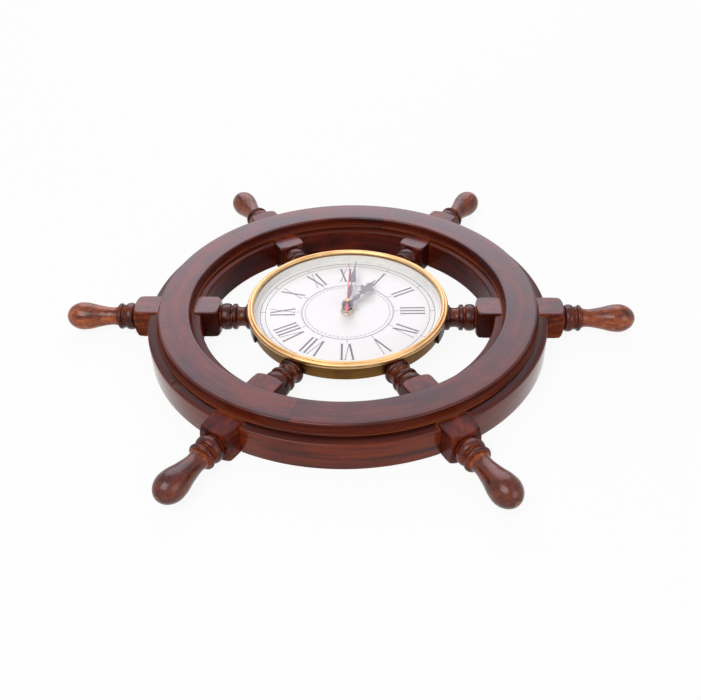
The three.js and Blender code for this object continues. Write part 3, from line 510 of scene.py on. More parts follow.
def rounded(corners: Outline, reaches: Sequence[float], steps: int = 5) -> np.ndarray:
    """Eases each corner of a closed outline.

    A corner P gives way to the curve (1-s)^2 A + 2s(1-s) P + s^2 B for s from 0 to 1, where A and B
    lie on its two edges at the easing's reach from P, held under 0.45 of the shorter edge.

    Args:
        corners: the outline's corners in millimetres.
        reaches: how far each corner's easing reaches.
        steps: points on each easing.

    Returns:
        The outline's points, shape (corners x steps, 2).
    """
    point = np.array(corners, dtype=float)
    before = np.roll(point, 1, axis=0) - point
    after = np.roll(point, -1, axis=0) - point
    to_before = np.linalg.norm(before, axis=1)
    to_after = np.linalg.norm(after, axis=1)
    reach = np.clip(reaches, 0.02, 0.45 * np.minimum(to_before, to_after))
    start = point + before * (reach / to_before)[:, None]
    end = point + after * (reach / to_after)[:, None]
    s = np.linspace(0, 1, steps)[None, :, None]
    eased = (1 - s) ** 2 * start[:, None] + 2 * s * (1 - s) * point[:, None] + s**2 * end[:, None]
    return eased.reshape(-1, 2)


def rectangle(left: float, right: float, low: float, high: float) -> Outline:
    """Corners of a rectangle, from its lower left and anticlockwise."""
    return [(left, low), (right, low), (right, high), (left, high)]


def smooth_through(stations: Outline, samples: int) -> np.ndarray:
    """A Catmull-Rom curve through stations.

    Between stations B and C, with A before and D after them, the point at t from 0 to 1 is
    0.5 (2B + (C-A)t + (2A-5B+4C-D)t^2 + (3B-A-3C+D)t^3).

    Args:
        stations: points that the curve passes through.
        samples: number of points on the curve.

    Returns:
        The curve's points, shape (samples, 2).
    """
    p = np.array(stations, dtype=float)
    p = np.vstack([2 * p[0] - p[1], p, 2 * p[-1] - p[-2]])
    place = np.linspace(0, len(stations) - 1, samples)
    piece = np.minimum(place.astype(int), len(stations) - 2)
    t = (place - piece)[:, None]
    a, b, c, d = p[piece], p[piece + 1], p[piece + 2], p[piece + 3]
    return 0.5 * (
        2 * b + (c - a) * t + (2 * a - 5 * b + 4 * c - d) * t**2 + (3 * b - a - 3 * c + d) * t**3
    )


def shell(
    name: str, points: np.ndarray, faces: list[list[int]], attributes: Attributes | None
) -> Piece:
    """Makes an object from one or more closed shells, with their faces outward.

    The faces are turned if the sum of a . (b x c) over the triangles a, b, c, six times the
    enclosed volume, is below 0.

    Args:
        name: the object's name.
        points: corners in millimetres, shape (n, 3).
        faces: corner indices of each face.
        attributes: by name, one number or one vector for each corner, or None.

    Returns:
        The object, at the origin.
    """
    mesh = bpy.data.meshes.new(name)
    mesh.from_pydata((points * MM).tolist(), [], faces)
    mesh.calc_loop_triangles()
    corners = np.empty(3 * len(mesh.loop_triangles), dtype=np.int32)
    mesh.loop_triangles.foreach_get("vertices", corners)
    a, b, c = points[corners.reshape(-1, 3)].transpose(1, 0, 2)
    if np.einsum("ij,ij->", a, np.cross(b, c)) < 0:
        mesh.flip_normals()
    for key, values in (attributes or {}).items():
        vector = values.shape[-1] == 3 and values.size == points.size
        layer = mesh.attributes.new(key, "FLOAT_VECTOR" if vector else "FLOAT", "POINT")
        layer.data.foreach_set("vector" if vector else "value", values.astype(np.float32).ravel())
    mesh.shade_smooth()
    mesh.set_sharp_from_angle(angle=math.radians(CREASE))
    log.info("%s: %d corners, %d faces", name, len(points), len(faces))
    return new_object(name, mesh)


def loft(
    name: str, rows: np.ndarray, ring: bool = False, attributes: Attributes | None = None
) -> Piece:
    """Skins closed loops of points with quads.

    Args:
        name: the object's name.
        rows: n loops of m points in millimetres, shape (n, m, 3).
        ring: True joins the last loop to the first, False closes both ends with a face.
        attributes: by name, values of shape (n, m) or (n, m, 3).

    Returns:
        The object.
    """
    n, m = rows.shape[:2]
    index = np.arange(n * m).reshape(n, m)
    here = index if ring else index[:-1]
    after = np.roll(index, -1, axis=0) if ring else index[1:]
    quads = np.stack([here, np.roll(here, -1, axis=1), np.roll(after, -1, axis=1), after], axis=-1)
    faces = quads.reshape(-1, 4).tolist()
    if not ring:
        faces += [index[0, ::-1].tolist(), index[-1].tolist()]
    return shell(name, rows.reshape(-1, 3), faces, attributes)


def round_axis(r: np.ndarray, angle: np.ndarray, z: np.ndarray) -> np.ndarray:
    """Points (r cos angle, r sin angle, z) about the clock's axis, from arrays that broadcast."""
    return np.stack(np.broadcast_arrays(r * np.cos(angle), r * np.sin(angle), z), axis=-1)


def turned_ring(name: str, outline: np.ndarray, steps: int) -> Piece:
    """A ring: a closed outline of (r, z) carried round the clock's axis.

    Args:
        name: the object's name.
        outline: closed outline, shape (k, 2).
        steps: sections in a full turn.

    Returns:
        The object.
    """
    angle = np.linspace(0, FULL_TURN, steps, endpoint=False)[:, None]
    return loft(name, round_axis(outline[:, 0], angle, outline[:, 1]), ring=True)


def turned_solid(name: str, profile: np.ndarray, steps: int) -> Piece:
    """A turned solid: each (r, z) of an open profile becomes a circle of that radius at that height.

    Args:
        name: the object's name.
        profile: from one end to the other, both close to the axis, shape (k, 2).
        steps: points on a circle.

    Returns:
        The object.
    """
    angle = np.linspace(0, FULL_TURN, steps, endpoint=False)[None, :]
    return loft(name, round_axis(profile[:, 0, None], angle, profile[:, 1, None]))


def plates(
    name: str, outlines: np.ndarray, foot: np.ndarray, top: np.ndarray, edge: float = 0.0
) -> Piece:
    """Flat closed plates in one object, each an outline between two heights.

    Args:
        name: the object's name.
        outlines: k outlines of m points, shape (k, m, 2).
        foot: lower height of each plate.
        top: upper height of each plate.
        edge: how far the upper face is drawn in, as a share of the way to the outline's middle.

    Returns:
        The object.
    """
    k, m = outlines.shape[:2]
    upper = outlines + (outlines.mean(axis=1, keepdims=True) - outlines) * edge
    low = np.concatenate([outlines, np.broadcast_to(foot[:, None, None], (k, m, 1))], axis=-1)
    high = np.concatenate([upper, np.broadcast_to(top[:, None, None], (k, m, 1))], axis=-1)
    points = np.concatenate([low, high], axis=1)
    index = np.arange(k * 2 * m).reshape(k, 2, m)
    lower, higher = index[:, 0], index[:, 1]
    sides = np.stack([lower, np.roll(lower, -1, 1), np.roll(higher, -1, 1), higher], axis=-1)
    faces = sides.reshape(-1, 4).tolist() + lower[:, ::-1].tolist() + higher.tolist()
    return shell(name, points.reshape(-1, 3), faces, None)


def turned_about_axis(points: np.ndarray, angle: float) -> np.ndarray:
    """Turns points (x, y, z) about the clock's axis.

    Args:
        points: any array whose last axis is x, y, z.
        angle: anticlockwise, in radians.

    Returns:
        The turned points.
    """
    x, y, z = points[..., 0], points[..., 1], points[..., 2]
    across, along = math.cos(angle), math.sin(angle)
    return np.stack([x * across - y * along, x * along + y * across, z], axis=-1)


def board_of(points: np.ndarray, grain: float, number: int) -> np.ndarray:
    """Coordinates of a piece in its own board, x along the grain.

    Args:
        points: the piece's points.
        grain: direction of the grain from the x axis, in radians.
        number: the board's number, which shifts its pattern.

    Returns:
        Coordinates of the same shape as the points.
    """
    shift = np.array([137.0, 61.0, 43.0]) * (number + 1)
    return turned_about_axis(points, -grain) + shift


def ring_board_of(points: np.ndarray, radius: float, number: int) -> np.ndarray:
    """Coordinates that follow the ring: (radius times the angle, distance from the axis, height).

    Args:
        points: the piece's points.
        radius: mean radius of the ring.
        number: the piece's number, which shifts its pattern.

    Returns:
        Coordinates of the same shape as the points.
    """
    x, y, z = points[..., 0], points[..., 1], points[..., 2]
    along = radius * (np.arctan2(y, x) % FULL_TURN)
    shift = np.array([0.0, 61.0, 43.0]) * (number + 1)
    return np.stack([along, np.hypot(x, y), z], axis=-1) + shift


def wear_and_painted_light(pooled: np.ndarray, dark_stain_and_shade: np.ndarray, wax_and_highlight: np.ndarray) -> np.ndarray:
    """The attribute of that name, from its three shares, each held from 0 to 1."""
    return np.clip(np.stack(np.broadcast_arrays(pooled, dark_stain_and_shade, wax_and_highlight), axis=-1), 0, 1)


def bump_at(x: np.ndarray, middle: float, width: float) -> np.ndarray:
    """A smooth hump exp(-((x - middle) / width)^2)."""
    return np.exp(-(((x - middle) / width) ** 2))


def ramp_at(x: np.ndarray, start: float, length: float) -> np.ndarray:
    """A straight ramp from 0 at start to 1 after length, or the other way if length is below 0."""
    return np.clip((x - start) / length, 0, 1)


def patches(angle: np.ndarray, count: int) -> np.ndarray:
    """Uneven patches round the ring: half of 1 + sin(count a + 2 sin(count // 2 a)) at angle a."""
    return 0.5 + 0.5 * np.sin(count * angle + 2 * np.sin(count // 2 * angle))


class Workshop:
    """Materials of the clock and the finishing of its pieces."""

    CORES = {Look.WOOD: Look.WOOD_CORE, Look.TURNED_WOOD: Look.TURNED_CORE}

    def __init__(self) -> None:
        """Makes every finish's material once."""
        self.materials = {look: look.value[2].material(look.value[0]) for look in Look}

    def fit(
        self, piece: Piece, look: Look, body: str = WHEEL_BODY, replaced: tuple[str, ...] = ()
    ) -> None:
        """Gives a piece its finish and its body, and paints the solids it stands for.

        Args:
            piece: the new piece.
            look: its finish.
            body: the body it moves with.
            replaced: CAD nodes that it stands for.
        """
        piece.data.materials.append(self.materials[look])
        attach(piece, body)
        if replaced:
            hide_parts(*replaced)
        for node in replaced:
            self.paint_node(node, self.CORES.get(look, look))

    def fit_rows(
        self, node: str, rows: np.ndarray, look: Look, attributes: Attributes, ring: bool = False
    ) -> None:
        """Lofts the finer piece that stands for a wooden node.

        Args:
            node: the CAD node.
            rows: loops of points.
            look: its finish.
            attributes: the board's coordinates and the shares of wear and lacquer.
            ring: True where the last loop joins the first.
        """
        self.fit(loft(f"{node}.fine", rows, ring, attributes), look, replaced=(node,))

    def fit_ring(
        self, node: str, look: Look, corners: Outline, reaches: Sequence[float], steps: int, ease: int = 5
    ) -> None:
        """Turns the finer ring that stands for a node.

        Args:
            node: the CAD node.
            look: its finish.
            corners: the section's corners, (r, z).
            reaches: how far each corner's easing reaches.
            steps: sections in a full turn.
            ease: points on each easing.
        """
        ring = turned_ring(f"{node}.fine", rounded(corners, reaches, ease), steps)
        self.fit(ring, look, replaced=(node,))

    def paint_node(self, node: str, look: Look) -> None:
        """Gives a CAD node its finish.

        Args:
            node: the node's name.
            look: its finish.
        """
        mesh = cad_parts[node].data
        mesh.materials.clear()
        mesh.materials.append(self.materials[look])
        log.info("%s painted as %s", node, look.value[0])


@dataclass(frozen=True)
class SpokeSizes:
    """Turning of a spoke: distances from the clock's axis, and radii."""

    start: float = 77.3
    tenon_start: float = 53.3
    tenon_radius: float = 3.5
    height: float = 12.5
    half_block: float = 12.0
    block_start: float = 102.5
    block_end: float = 171.5
    shoulder: float = 4.6
    shoulder_low: float = 9.7
    shoulder_high: float = 17.0
    grip_start: float = 186.4
    tip: float = 228.6
    lathe_mark: float = 1.2
    step: float = 0.02  # between stations where the radius jumps
    edge_power: float = 22.0  # the higher, the crisper the block's long edges
    meeting_power: float = 30.0  # the higher, the crisper where turning and block meet
    crowding: float = 0.16  # radians by which points move towards the block's long edges
    glue_lines: Pair = (121.5, 151.6)
    under_ring: float = 132.0  # under the face ring, where the block's inner part ends
    foot_bead_end: float = 89.0
    groove_radius: float = 9.3  # stain pools where the turning is thinner than this
    tip_stain: float = 4.2
    tip_wax: float = 2.3
    glue_width: float = 0.45
    top_from: float = 0.69  # height over distance, both from the spoke's axis, where the top begins


@dataclass(frozen=True)
class SpokeStainsAndShade:
    """Strengths from 0 to 1 of stain, painted shade, wax and lacquer in the places of a spoke where they
    show.
    """

    foot_pooled: float = 0.35
    side_pooled: float = 0.5
    side_shade: float = 0.15
    inner_shade: float = 0.75  # more painted shade on the block's sides towards the hub, under the face ring
    foot_shade: float = 0.6
    neck_shade: float = 0.25
    tip_dark: float = 0.7
    glue_wax: float = 0.6
    tip_wax: float = 0.8
    grip_lacquer: float = 0.7
    bead_lacquer: float = 0.5
    side_lacquer: float = 0.06
    inner_lacquer: float = 0.45  # times 1 + the outer block's own share


@dataclass(frozen=True)
class Bead:
    """A half ellipse that swells from rim to radius, or a cove that shrinks, along a spoke."""

    start: float
    length: float
    rim: float
    radius: float

    def raise_on(self, x: np.ndarray, base: np.ndarray) -> np.ndarray:
        """Sets the radius to rim + (radius - rim) sqrt(1 - u^2) where u runs from -1 to 1.

        Args:
            x: distances from the clock's axis.
            base: radii outside the bead.

        Returns:
            The radii with the bead.
        """
        u = 2 * (x - self.start) / self.length - 1
        swell = self.rim + (self.radius - self.rim) * np.sqrt(np.clip(1 - u * u, 0, 1))
        return np.where(np.abs(u) < 1, swell, base)


@dataclass(frozen=True)
class Wear:
    """Wear of one spoke: stains on its grip, and lacquer on its outer block's top."""

    orange: float
    dark: float
    lacquer: float


@dataclass(frozen=True)
class Spokes:
    """Six turned spokes, each one piece of mahogany from its tenon to its grip."""

    workshop: Workshop
    sizes: SpokeSizes = SpokeSizes()
    stains: SpokeStainsAndShade = SpokeStainsAndShade()

    BEADS = (
        Bead(77.3, 4.6, 9.0, 10.4),
        Bead(81.9, 7.0, 9.0, 7.7),
        Bead(88.9, 3.8, 9.3, 10.5),
        Bead(92.7, 1.1, 9.2, 8.4),
        Bead(93.8, 7.8, 9.2, 10.75),
        Bead(101.6, 0.9, 9.0, 8.6),
        Bead(171.5, 0.9, 9.0, 8.6),
        Bead(172.4, 7.2, 9.0, 10.9),
        Bead(179.6, 0.8, 8.9, 8.4),
        Bead(180.4, 1.0, 8.8, 9.4),
        Bead(181.4, 0.8, 8.9, 8.4),
        Bead(182.2, 3.4, 8.9, 10.5),
        Bead(185.6, 0.8, 8.6, 7.8),
    )
    WEAR = (
        Wear(0.8, 0.1, 0.6),
        Wear(0.5, 0.2, 0.5),
        Wear(0.6, 0.2, 0.5),
        Wear(1.0, 0.0, 0.7),
        Wear(0.22, 0.35, 0.06),
        Wear(0.22, 0.35, 0.12),
    )
    GRIP = ((0.0, 7.7), (5.5, 7.15), (14.8, 8.6), (23.2, 10.6), (28.7, 11.2))

    def stations(self) -> np.ndarray:
        """Distances along the spoke, close together where the turning is fine.

        Returns:
            The distances, rising.
        """
        s = self.sizes
        shoulder = s.shoulder * np.linspace(0, 1, 16) ** 1.3
        flat = np.linspace(s.block_start + s.shoulder + 2, s.block_end - s.shoulder - 2, 14)
        glued = np.add.outer(s.glue_lines, [-1.0, -0.5, 0.0, 0.5, 1.0]).ravel()
        return np.concatenate(
            [
                [s.tenon_start, s.tenon_start + 0.4, s.start - s.step],
                np.linspace(s.start, s.block_start - s.step, 92),
                s.block_start + shoulder,
                np.union1d(flat, glued),
                s.block_end - shoulder[::-1],
                np.linspace(s.block_end + s.step, s.grip_start - s.step, 58),
                np.linspace(s.grip_start, s.grip_start + self.GRIP[-1][0], 26),
            ]
        )

    def radii(self, x: np.ndarray) -> np.ndarray:
        """The turned radius at each distance, with the square block's place left large.

        Args:
            x: distances from the clock's axis.

        Returns:
            The radii.
        """
        s = self.sizes
        stem = smooth_through(self.GRIP, 160)
        base = np.interp(x - s.grip_start, stem[:, 0], stem[:, 1])
        for bead in self.BEADS:
            base = bead.raise_on(x, base)
        inside = (x >= s.block_start) & (x <= s.block_end)
        into = np.minimum(x - s.block_start, s.block_end - x) / s.shoulder
        quarter = np.sqrt(np.clip(1 - (1 - np.clip(into, 0, 1)) ** 2, 0, 1))
        shoulder = s.shoulder_low + (s.shoulder_high - s.shoulder_low) * quarter
        base = np.where(inside, np.where(into < 1, shoulder, 3 * s.half_block), base)
        return np.where(x < s.start, s.tenon_radius, base)

    def surface(self) -> tuple[np.ndarray, np.ndarray]:
        """Points of one spoke along X.

        The radius at distance x and angle a is (R(x)^-k + q(a)^-k)^(-1/k), where k is the meeting
        power, R the turning and q(a) = h / (|cos a|^p + |sin a|^p)^(1/p) the eased square of half
        side h. The angles run closer at the square's corners, and the grip ends in a quarter
        ellipse with a small dimple left by the lathe's centre.

        Returns:
            Rows of points, shape (n, m, 3), and their distances from the spoke's axis, shape (n, m).
        """
        s = self.sizes
        x = self.stations()
        turning = self.radii(x)
        quarter = np.linspace(0, np.pi / 2, 20)[1:-1]
        end_x = x[-1] + (s.tip - x[-1]) * np.sin(quarter)
        end_r = turning[-1] * np.cos(quarter)
        keep = end_r > s.lathe_mark
        x = np.concatenate([x, end_x[keep], [s.tip - 0.05, s.tip - 0.3, s.tip - 0.55]])
        dimple = [1.15 * s.lathe_mark, 0.7 * s.lathe_mark, 0.2]
        turning = np.concatenate([turning, end_r[keep], dimple])
        around = np.linspace(0, FULL_TURN, 88, endpoint=False)
        a = around + s.crowding * np.sin(4 * around)
        p, k = s.edge_power, s.meeting_power
        square = s.half_block / (np.abs(np.cos(a)) ** p + np.abs(np.sin(a)) ** p) ** (1 / p)
        radius = (turning[:, None] ** -k + square[None, :] ** -k) ** (-1 / k)
        across, up = radius * np.cos(a), s.height + radius * np.sin(a)
        return np.stack(np.broadcast_arrays(x[:, None], across, up), axis=-1), radius

    def finish_shares(self, rows: np.ndarray, radius: np.ndarray, wear: Wear) -> Attributes:
        """Where stain has pooled or gone dark, shade is painted, wax has caught and lacquer lies.

        Each share adds up the places that it shows in, times its strength there. The places are
        functions of the distance x from the clock's axis and the height over the spoke's own axis.

        Args:
            rows: the surface's points.
            radius: the distance of each point from the spoke's axis.
            wear: the spoke's wear.

        Returns:
            The attribute of stains, painted shade and wax, and "lacquer".
        """
        s, w = self.sizes, self.stains
        x = rows[..., 0]
        up = (rows[..., 2] - s.height) / radius
        past_stem = x > s.grip_start
        on_grip = ramp_at(x, s.grip_start, 3.0)
        in_block = ((x > s.block_start) & (x < s.block_end)).astype(float)
        on_beads = (1 - in_block) * (1 - on_grip)
        block_top = in_block * ramp_at(up, s.top_from, 0.05)
        block_side = in_block - block_top
        inner = ramp_at(x, s.under_ring, -4.0)
        grooves = ramp_at(radius, s.groove_radius, -0.9) * on_beads
        grooves *= np.where(x < s.foot_bead_end, w.foot_pooled, 1)
        glue = sum(bump_at(x, line, s.glue_width) for line in s.glue_lines) * (up > -0.3)
        pooled = grooves + wear.orange * (on_grip + w.side_pooled * block_side * (1 - inner))
        dark_stain_and_shade = (
            wear.dark * on_grip
            # painted shade on the block's sides, strongest towards the hub under the face ring
            + (w.side_shade + w.inner_shade * inner) * block_side
            # painted shade on the beads, strongest near the hub beside the case
            + np.where(x < s.block_start, w.foot_shade, w.neck_shade) * on_beads * (1 - grooves)
            + w.tip_dark * ramp_at(radius, s.tip_stain, -1.2) * past_stem
        )
        wax_and_highlight = w.glue_wax * in_block * glue + w.tip_wax * ramp_at(radius, s.tip_wax, -0.8) * past_stem
        inner_lacquer = w.inner_lacquer * (1 + wear.lacquer)
        top_lacquer = wear.lacquer + (inner_lacquer - wear.lacquer) * inner
        lacquer = (
            w.grip_lacquer * on_grip
            + top_lacquer * block_top
            + w.side_lacquer * block_side
            + w.bead_lacquer * on_beads
        )
        return {"wear_and_painted_light": wear_and_painted_light(pooled, dark_stain_and_shade, wax_and_highlight), "lacquer": np.clip(lacquer, 0, 1)}

    def build(self) -> None:
        """Makes the six spokes."""
        rows, radius = self.surface()
        for number, wear in enumerate(self.WEAR):
            attributes = {"board": board_of(rows, 0.0, number), **self.finish_shares(rows, radius, wear)}
            placed = turned_about_axis(rows, number * SPAN)
            self.workshop.fit_rows(f"spoke_{number + 1}", placed, Look.TURNED_WOOD, attributes)


@dataclass(frozen=True)
class RimSizes:
    """Section of the rim. Turns are in degrees."""

    inner: float = 116.5
    outer: float = 158.0
    top: float = 23.5
    fall: float = 0.8
    shelf_foot: float = 21.6
    edge: float = 1.6
    face_inner: float = 124.4
    face_outer: float = 148.7
    face_foot: float = 23.55
    face_top: float = 32.5
    face_edge: float = 1.5
    crown: float = 0.1
    cove_stop: float = 1.8
    cove_step: float = 0.5
    cove_middle: float = 26.5
    flare: float = 2.6
    lip: float = 1.1
    lip_aim: float = 28.0  # height over the far foot that the lip's sloping top points at
    joint_turn: float = 17.0
    joint_gap: float = 0.0004  # radians
    block_room: float = 12.05
    block_gap: float = 0.15
    block_top: float = 24.62
    block_step: float = 0.001  # radians in which the face ring's underside steps up over a block
    torn_felloe: int = 4
    tear_turn: float = 37.5
    tear_radius: float = 154.5
    tear_width: float = 2.5
    tear_length: float = 0.06  # radians
    tear_depth: float = 1.1


@dataclass(frozen=True)
class RimStainsAndShade:
    """Strengths from 0 to 1 of stain, painted shade, wax, a painted highlight and lacquer in the places of
    the rim where they show.
    """

    shelf_pooled: float = 0.7
    shelf_patches: float = 0.3
    block_pooled: float = 0.7
    edge_pooled: float = 0.5
    side_pooled: float = 0.9
    shelf_shade: float = 0.5
    inside_shade: float = 0.15
    crease_shade: float = 0.8
    tear_dark: float = 0.9
    tear_wax: float = 0.3
    block_wax: float = 0.5
    least_lacquer: float = 0.03
    side_lacquer: float = 0.9
    side_rubbed: float = 0.5  # taken off side_lacquer where it is rubbed most
    shelf_lacquer: float = 0.12
    cove_pooled: float = 0.85
    cove_shade: float = 0.45
    # strength of the pale line painted along the lip: a painted highlight where its edge catches the light
    lip_highlight: float = 0.34
    cove_lacquer: float = 0.06
    top_lacquer: float = 0.63  # added to cove_lacquer
    top_rubbed: float = 0.17  # taken off top_lacquer where it is rubbed most


@dataclass(frozen=True)
class Rim:
    """Felloes between the spokes' blocks, and the coved face ring that covers their joints."""

    workshop: Workshop
    sizes: RimSizes = RimSizes()
    stains: RimStainsAndShade = RimStainsAndShade()

    def felloe_section(self) -> np.ndarray:
        """The felloe's outline with eased edges and a slightly crowned top.

        Returns:
            Closed outline of (r, z), shape (k, 2).
        """
        s = self.sizes
        shelf = s.top - s.fall
        crest = [(s.face_outer + s.flare, s.top), (s.face_inner - s.flare, s.top)]
        corners = [(s.inner, 0.0), (s.outer, 0.0), (s.outer, shelf), *crest, (s.inner, shelf)]
        return rounded(corners, [0.8, 0.8, s.edge, 1.5, 1.5, s.edge], steps=6)

    def face_section(self) -> np.ndarray:
        """The face ring's outline: eased top edges over coved sides that run out to a small lip.

        The outer half goes from the lip up the quarter ellipse (flare (1 - sin t),
        rise (1 - cos t)), hollow outwards, to the rounded edge. The inner half mirrors it.

        Returns:
            Closed outline of (r, z), shape (k, 2).
        """
        s = self.sizes
        middle, half = (s.face_outer + s.face_inner) / 2, (s.face_outer - s.face_inner) / 2
        foot, lip_top = s.face_outer + s.flare, s.face_foot + s.lip
        lip_corners = [(foot, s.face_foot), (foot, lip_top), (2 * middle - foot, s.lip_aim)]
        lip = rounded(lip_corners, [0.2, 0.35, 0], 4)[4:8]
        t = np.linspace(0, np.pi / 2, 12)
        run = (s.flare - s.cove_step) * (1 - np.sin(t))
        rise = (s.face_top - s.cove_stop - lip_top) * (1 - np.cos(t))
        cove = np.stack([s.face_outer + run, lip_top + rise], axis=-1)
        turn = np.linspace(0, np.pi / 2, 7)
        edge_middle = np.array([s.face_outer, s.face_top]) - s.face_edge
        edge = edge_middle + s.face_edge * np.stack([np.cos(turn), np.sin(turn)], axis=-1)
        outer = np.concatenate([lip, cove, edge])
        r = np.linspace(s.face_outer - 4, s.face_inner + 4, 9)
        crest = np.stack([r, s.face_top + s.crown * (1 - ((r - middle) / half) ** 2)], axis=-1)
        return np.concatenate([outer, crest, outer[::-1] * [-1, 1] + [2 * middle, 0]])

    def build_felloes(self) -> None:
        """Makes the felloes.

        A point (r, z) of the section is carried from asin(w/r) past one spoke to asin(w/r) before
        the next, so both ends lie flat against the blocks of half width w.
        """
        s, w = self.sizes, self.stains
        r, z = self.felloe_section().T
        share = np.linspace(0, 1, 101)[:, None]
        clear = np.arcsin(s.block_room / r)
        angle = clear + (SPAN - 2 * clear) * share
        rows = round_axis(r, angle, z)
        to_block = np.minimum(angle - clear, SPAN - clear - angle) * r
        shelf = ramp_at(z, s.shelf_foot, 0.8)
        side = ramp_at(r, s.outer - 1.4, 1.2)
        under_edge = side * bump_at(z, s.top - 4, 3.0)
        # The crease on the shelf under the face ring's lip, where a line of painted shade goes.
        crease = shelf * bump_at(r, s.face_outer + s.flare + 0.6, 0.9)
        patchy = patches(angle, 11)
        pooled = (
            shelf * (w.shelf_pooled + w.shelf_patches * patchy)
            + w.block_pooled * np.exp(-to_block / 2.5)
            + w.edge_pooled * under_edge
            + w.side_pooled * side * patchy
            - crease
        )
        # Painted shade: darker on the shelf beside the face ring, on the inner walls and underside, and
        # most in the crease under the face ring's lip; stained holds it together with the real stains.
        dark_stain_and_shade = w.shelf_shade * shelf + w.inside_shade * (1 - side) + w.crease_shade * crease
        stained = wear_and_painted_light(pooled, dark_stain_and_shade, w.block_wax * shelf * np.exp(-to_block / 0.6))
        for number in range(SPOKE_COUNT):
            tear = self.tear(rows) * (number == s.torn_felloe - 1)
            placed = turned_about_axis(rows, number * SPAN)
            placed[..., 2] -= s.tear_depth * tear
            rubbed = np.sin(angle + number * SPAN) ** 2
            on_side = (w.side_lacquer - w.side_rubbed * rubbed) * side
            attributes = {
                "board": ring_board_of(rows, s.outer, 10 + number),
                "wear_and_painted_light": np.clip(stained + tear[..., None] * [0, w.tear_dark, w.tear_wax], 0, 1),
                "lacquer": w.least_lacquer + on_side + w.shelf_lacquer * shelf * (1 - side),
            }
            self.workshop.fit_rows(f"felloe_{number + 1}", placed, Look.WOOD, attributes)

    def tear(self, rows: np.ndarray) -> np.ndarray:
        """Depth of the torn grain on one felloe's shelf, from 0 to 1.

        With angle a, it is a hump in a times sin(90 a + 4 sin(31 a)) squared, on the shelf alone.

        Args:
            rows: the felloe's points, before it is turned to its place.

        Returns:
            A number for each point.
        """
        s = self.sizes
        x, y, z = rows.transpose(2, 0, 1)
        angle = np.arctan2(y, x)
        ridges = np.sin(90 * angle + 4 * np.sin(31 * angle)) ** 2
        on_shelf = bump_at(np.hypot(x, y), s.tear_radius, s.tear_width) * (z > 20)
        return bump_at(angle, math.radians(s.tear_turn), s.tear_length) * ridges * on_shelf

    def build_face(self) -> None:
        """Makes the face ring's segments.

        Each runs from one joint over a spoke's block to the next joint. A point (r, z) of the
        section turns evenly up to asin(w/r) before the spoke, over the block of half width w and
        on to the next joint. Over the block its height is at least the block's top.
        """
        s, w = self.sizes, self.stains
        r, z = self.face_section().T
        start = math.radians(s.joint_turn) + s.joint_gap
        block = np.arcsin((s.block_room + s.block_gap) / r)
        before, after = SPAN - block, SPAN + block
        ends = np.full_like(r, start), np.full_like(r, start + SPAN - 2 * s.joint_gap)
        step = s.block_step
        knots = np.stack([ends[0], before - step, before, after, after + step, ends[1]])
        stretches = np.linspace(0, 1, 18), [2.0], np.linspace(2, 3, 9)[1:], [4.0], np.linspace(4, 5, 10)[1:]
        place = np.concatenate(stretches)
        piece = np.minimum(place.astype(int), 4)
        part = (place - piece)[:, None]
        angle = knots[piece] * (1 - part) + knots[piece + 1] * part
        over = ((place >= 2) & (place <= 3))[:, None]
        rows = round_axis(r, angle, np.where(over, np.maximum(z, s.block_top), z))
        on_top = ramp_at(z, s.face_top - s.face_edge, 0.8)
        # A pale line painted along the lip, where its edge catches the light: a painted highlight, broken
        # into patches round the ring.
        wax_and_highlight = w.lip_highlight * bump_at(z, s.face_foot + s.lip, 0.2) * patches(angle, 9)
        pooled = w.cove_pooled * bump_at(z, s.cove_middle, 3.0) * (1 - on_top)
        # Below the top the ring is painted darker: painted shade in the coves. stained holds it with the
        # stain and the painted highlight.
        stained = wear_and_painted_light(pooled, w.cove_shade * (1 - on_top), wax_and_highlight)
        for number in range(SPOKE_COUNT):
            rubbed = 0.5 - 0.5 * np.sin(angle + number * SPAN)
            attributes = {
                "board": ring_board_of(rows, s.face_outer, 20 + number),
                "wear_and_painted_light": stained,
                "lacquer": w.cove_lacquer + (w.top_lacquer - w.top_rubbed * rubbed) * on_top,
            }
            placed = turned_about_axis(rows, number * SPAN)
            self.workshop.fit_rows(f"face_segment_{number + 1}", placed, Look.WOOD, attributes)

    def build(self) -> None:
        """Makes the whole rim."""
        self.build_felloes()
        self.build_face()


@dataclass(frozen=True)
class CaseSizes:
    """Turned sizes of the hub, the case, the glass and the dial. Turns are in degrees."""

    radius: float = 77.0
    wall: float = 0.8
    lip: float = 63.0
    bottom: float = 10.9
    top: float = 23.8
    insert: float = 75.9
    hub_radius: float = 62.7
    hub_bottom: float = 1.3
    hub_step: float = 12.0
    hub_top: float = 17.2
    hub_edge: float = 0.8
    window_half: float = 28.3
    window_above: float = 22.3
    window_below: float = 34.33
    dial_back: float = 17.5
    dial_face: float = 18.0
    dial_bore: float = 4.25
    spacer_gap: float = 0.05
    spacer_width: float = 1.9
    glass_foot: float = 23.7
    glass_thick: float = 1.8
    glass_edge: float = 0.3
    dome_radius: float = 73.1
    dome_height: float = 7.6
    dome_fullness: float = 5.0
    cheek_start: float = 9.6
    cheek_end: float = 25.0
    cheek_gap: float = 0.15
    cheek_thick: float = 2.0
    cheek_top: float = 21.0
    cheek_taper: float = 0.04  # share of a cheek's length in which each end thins out
    cheek_thinning: float = 0.12  # share by which the ends are thinner


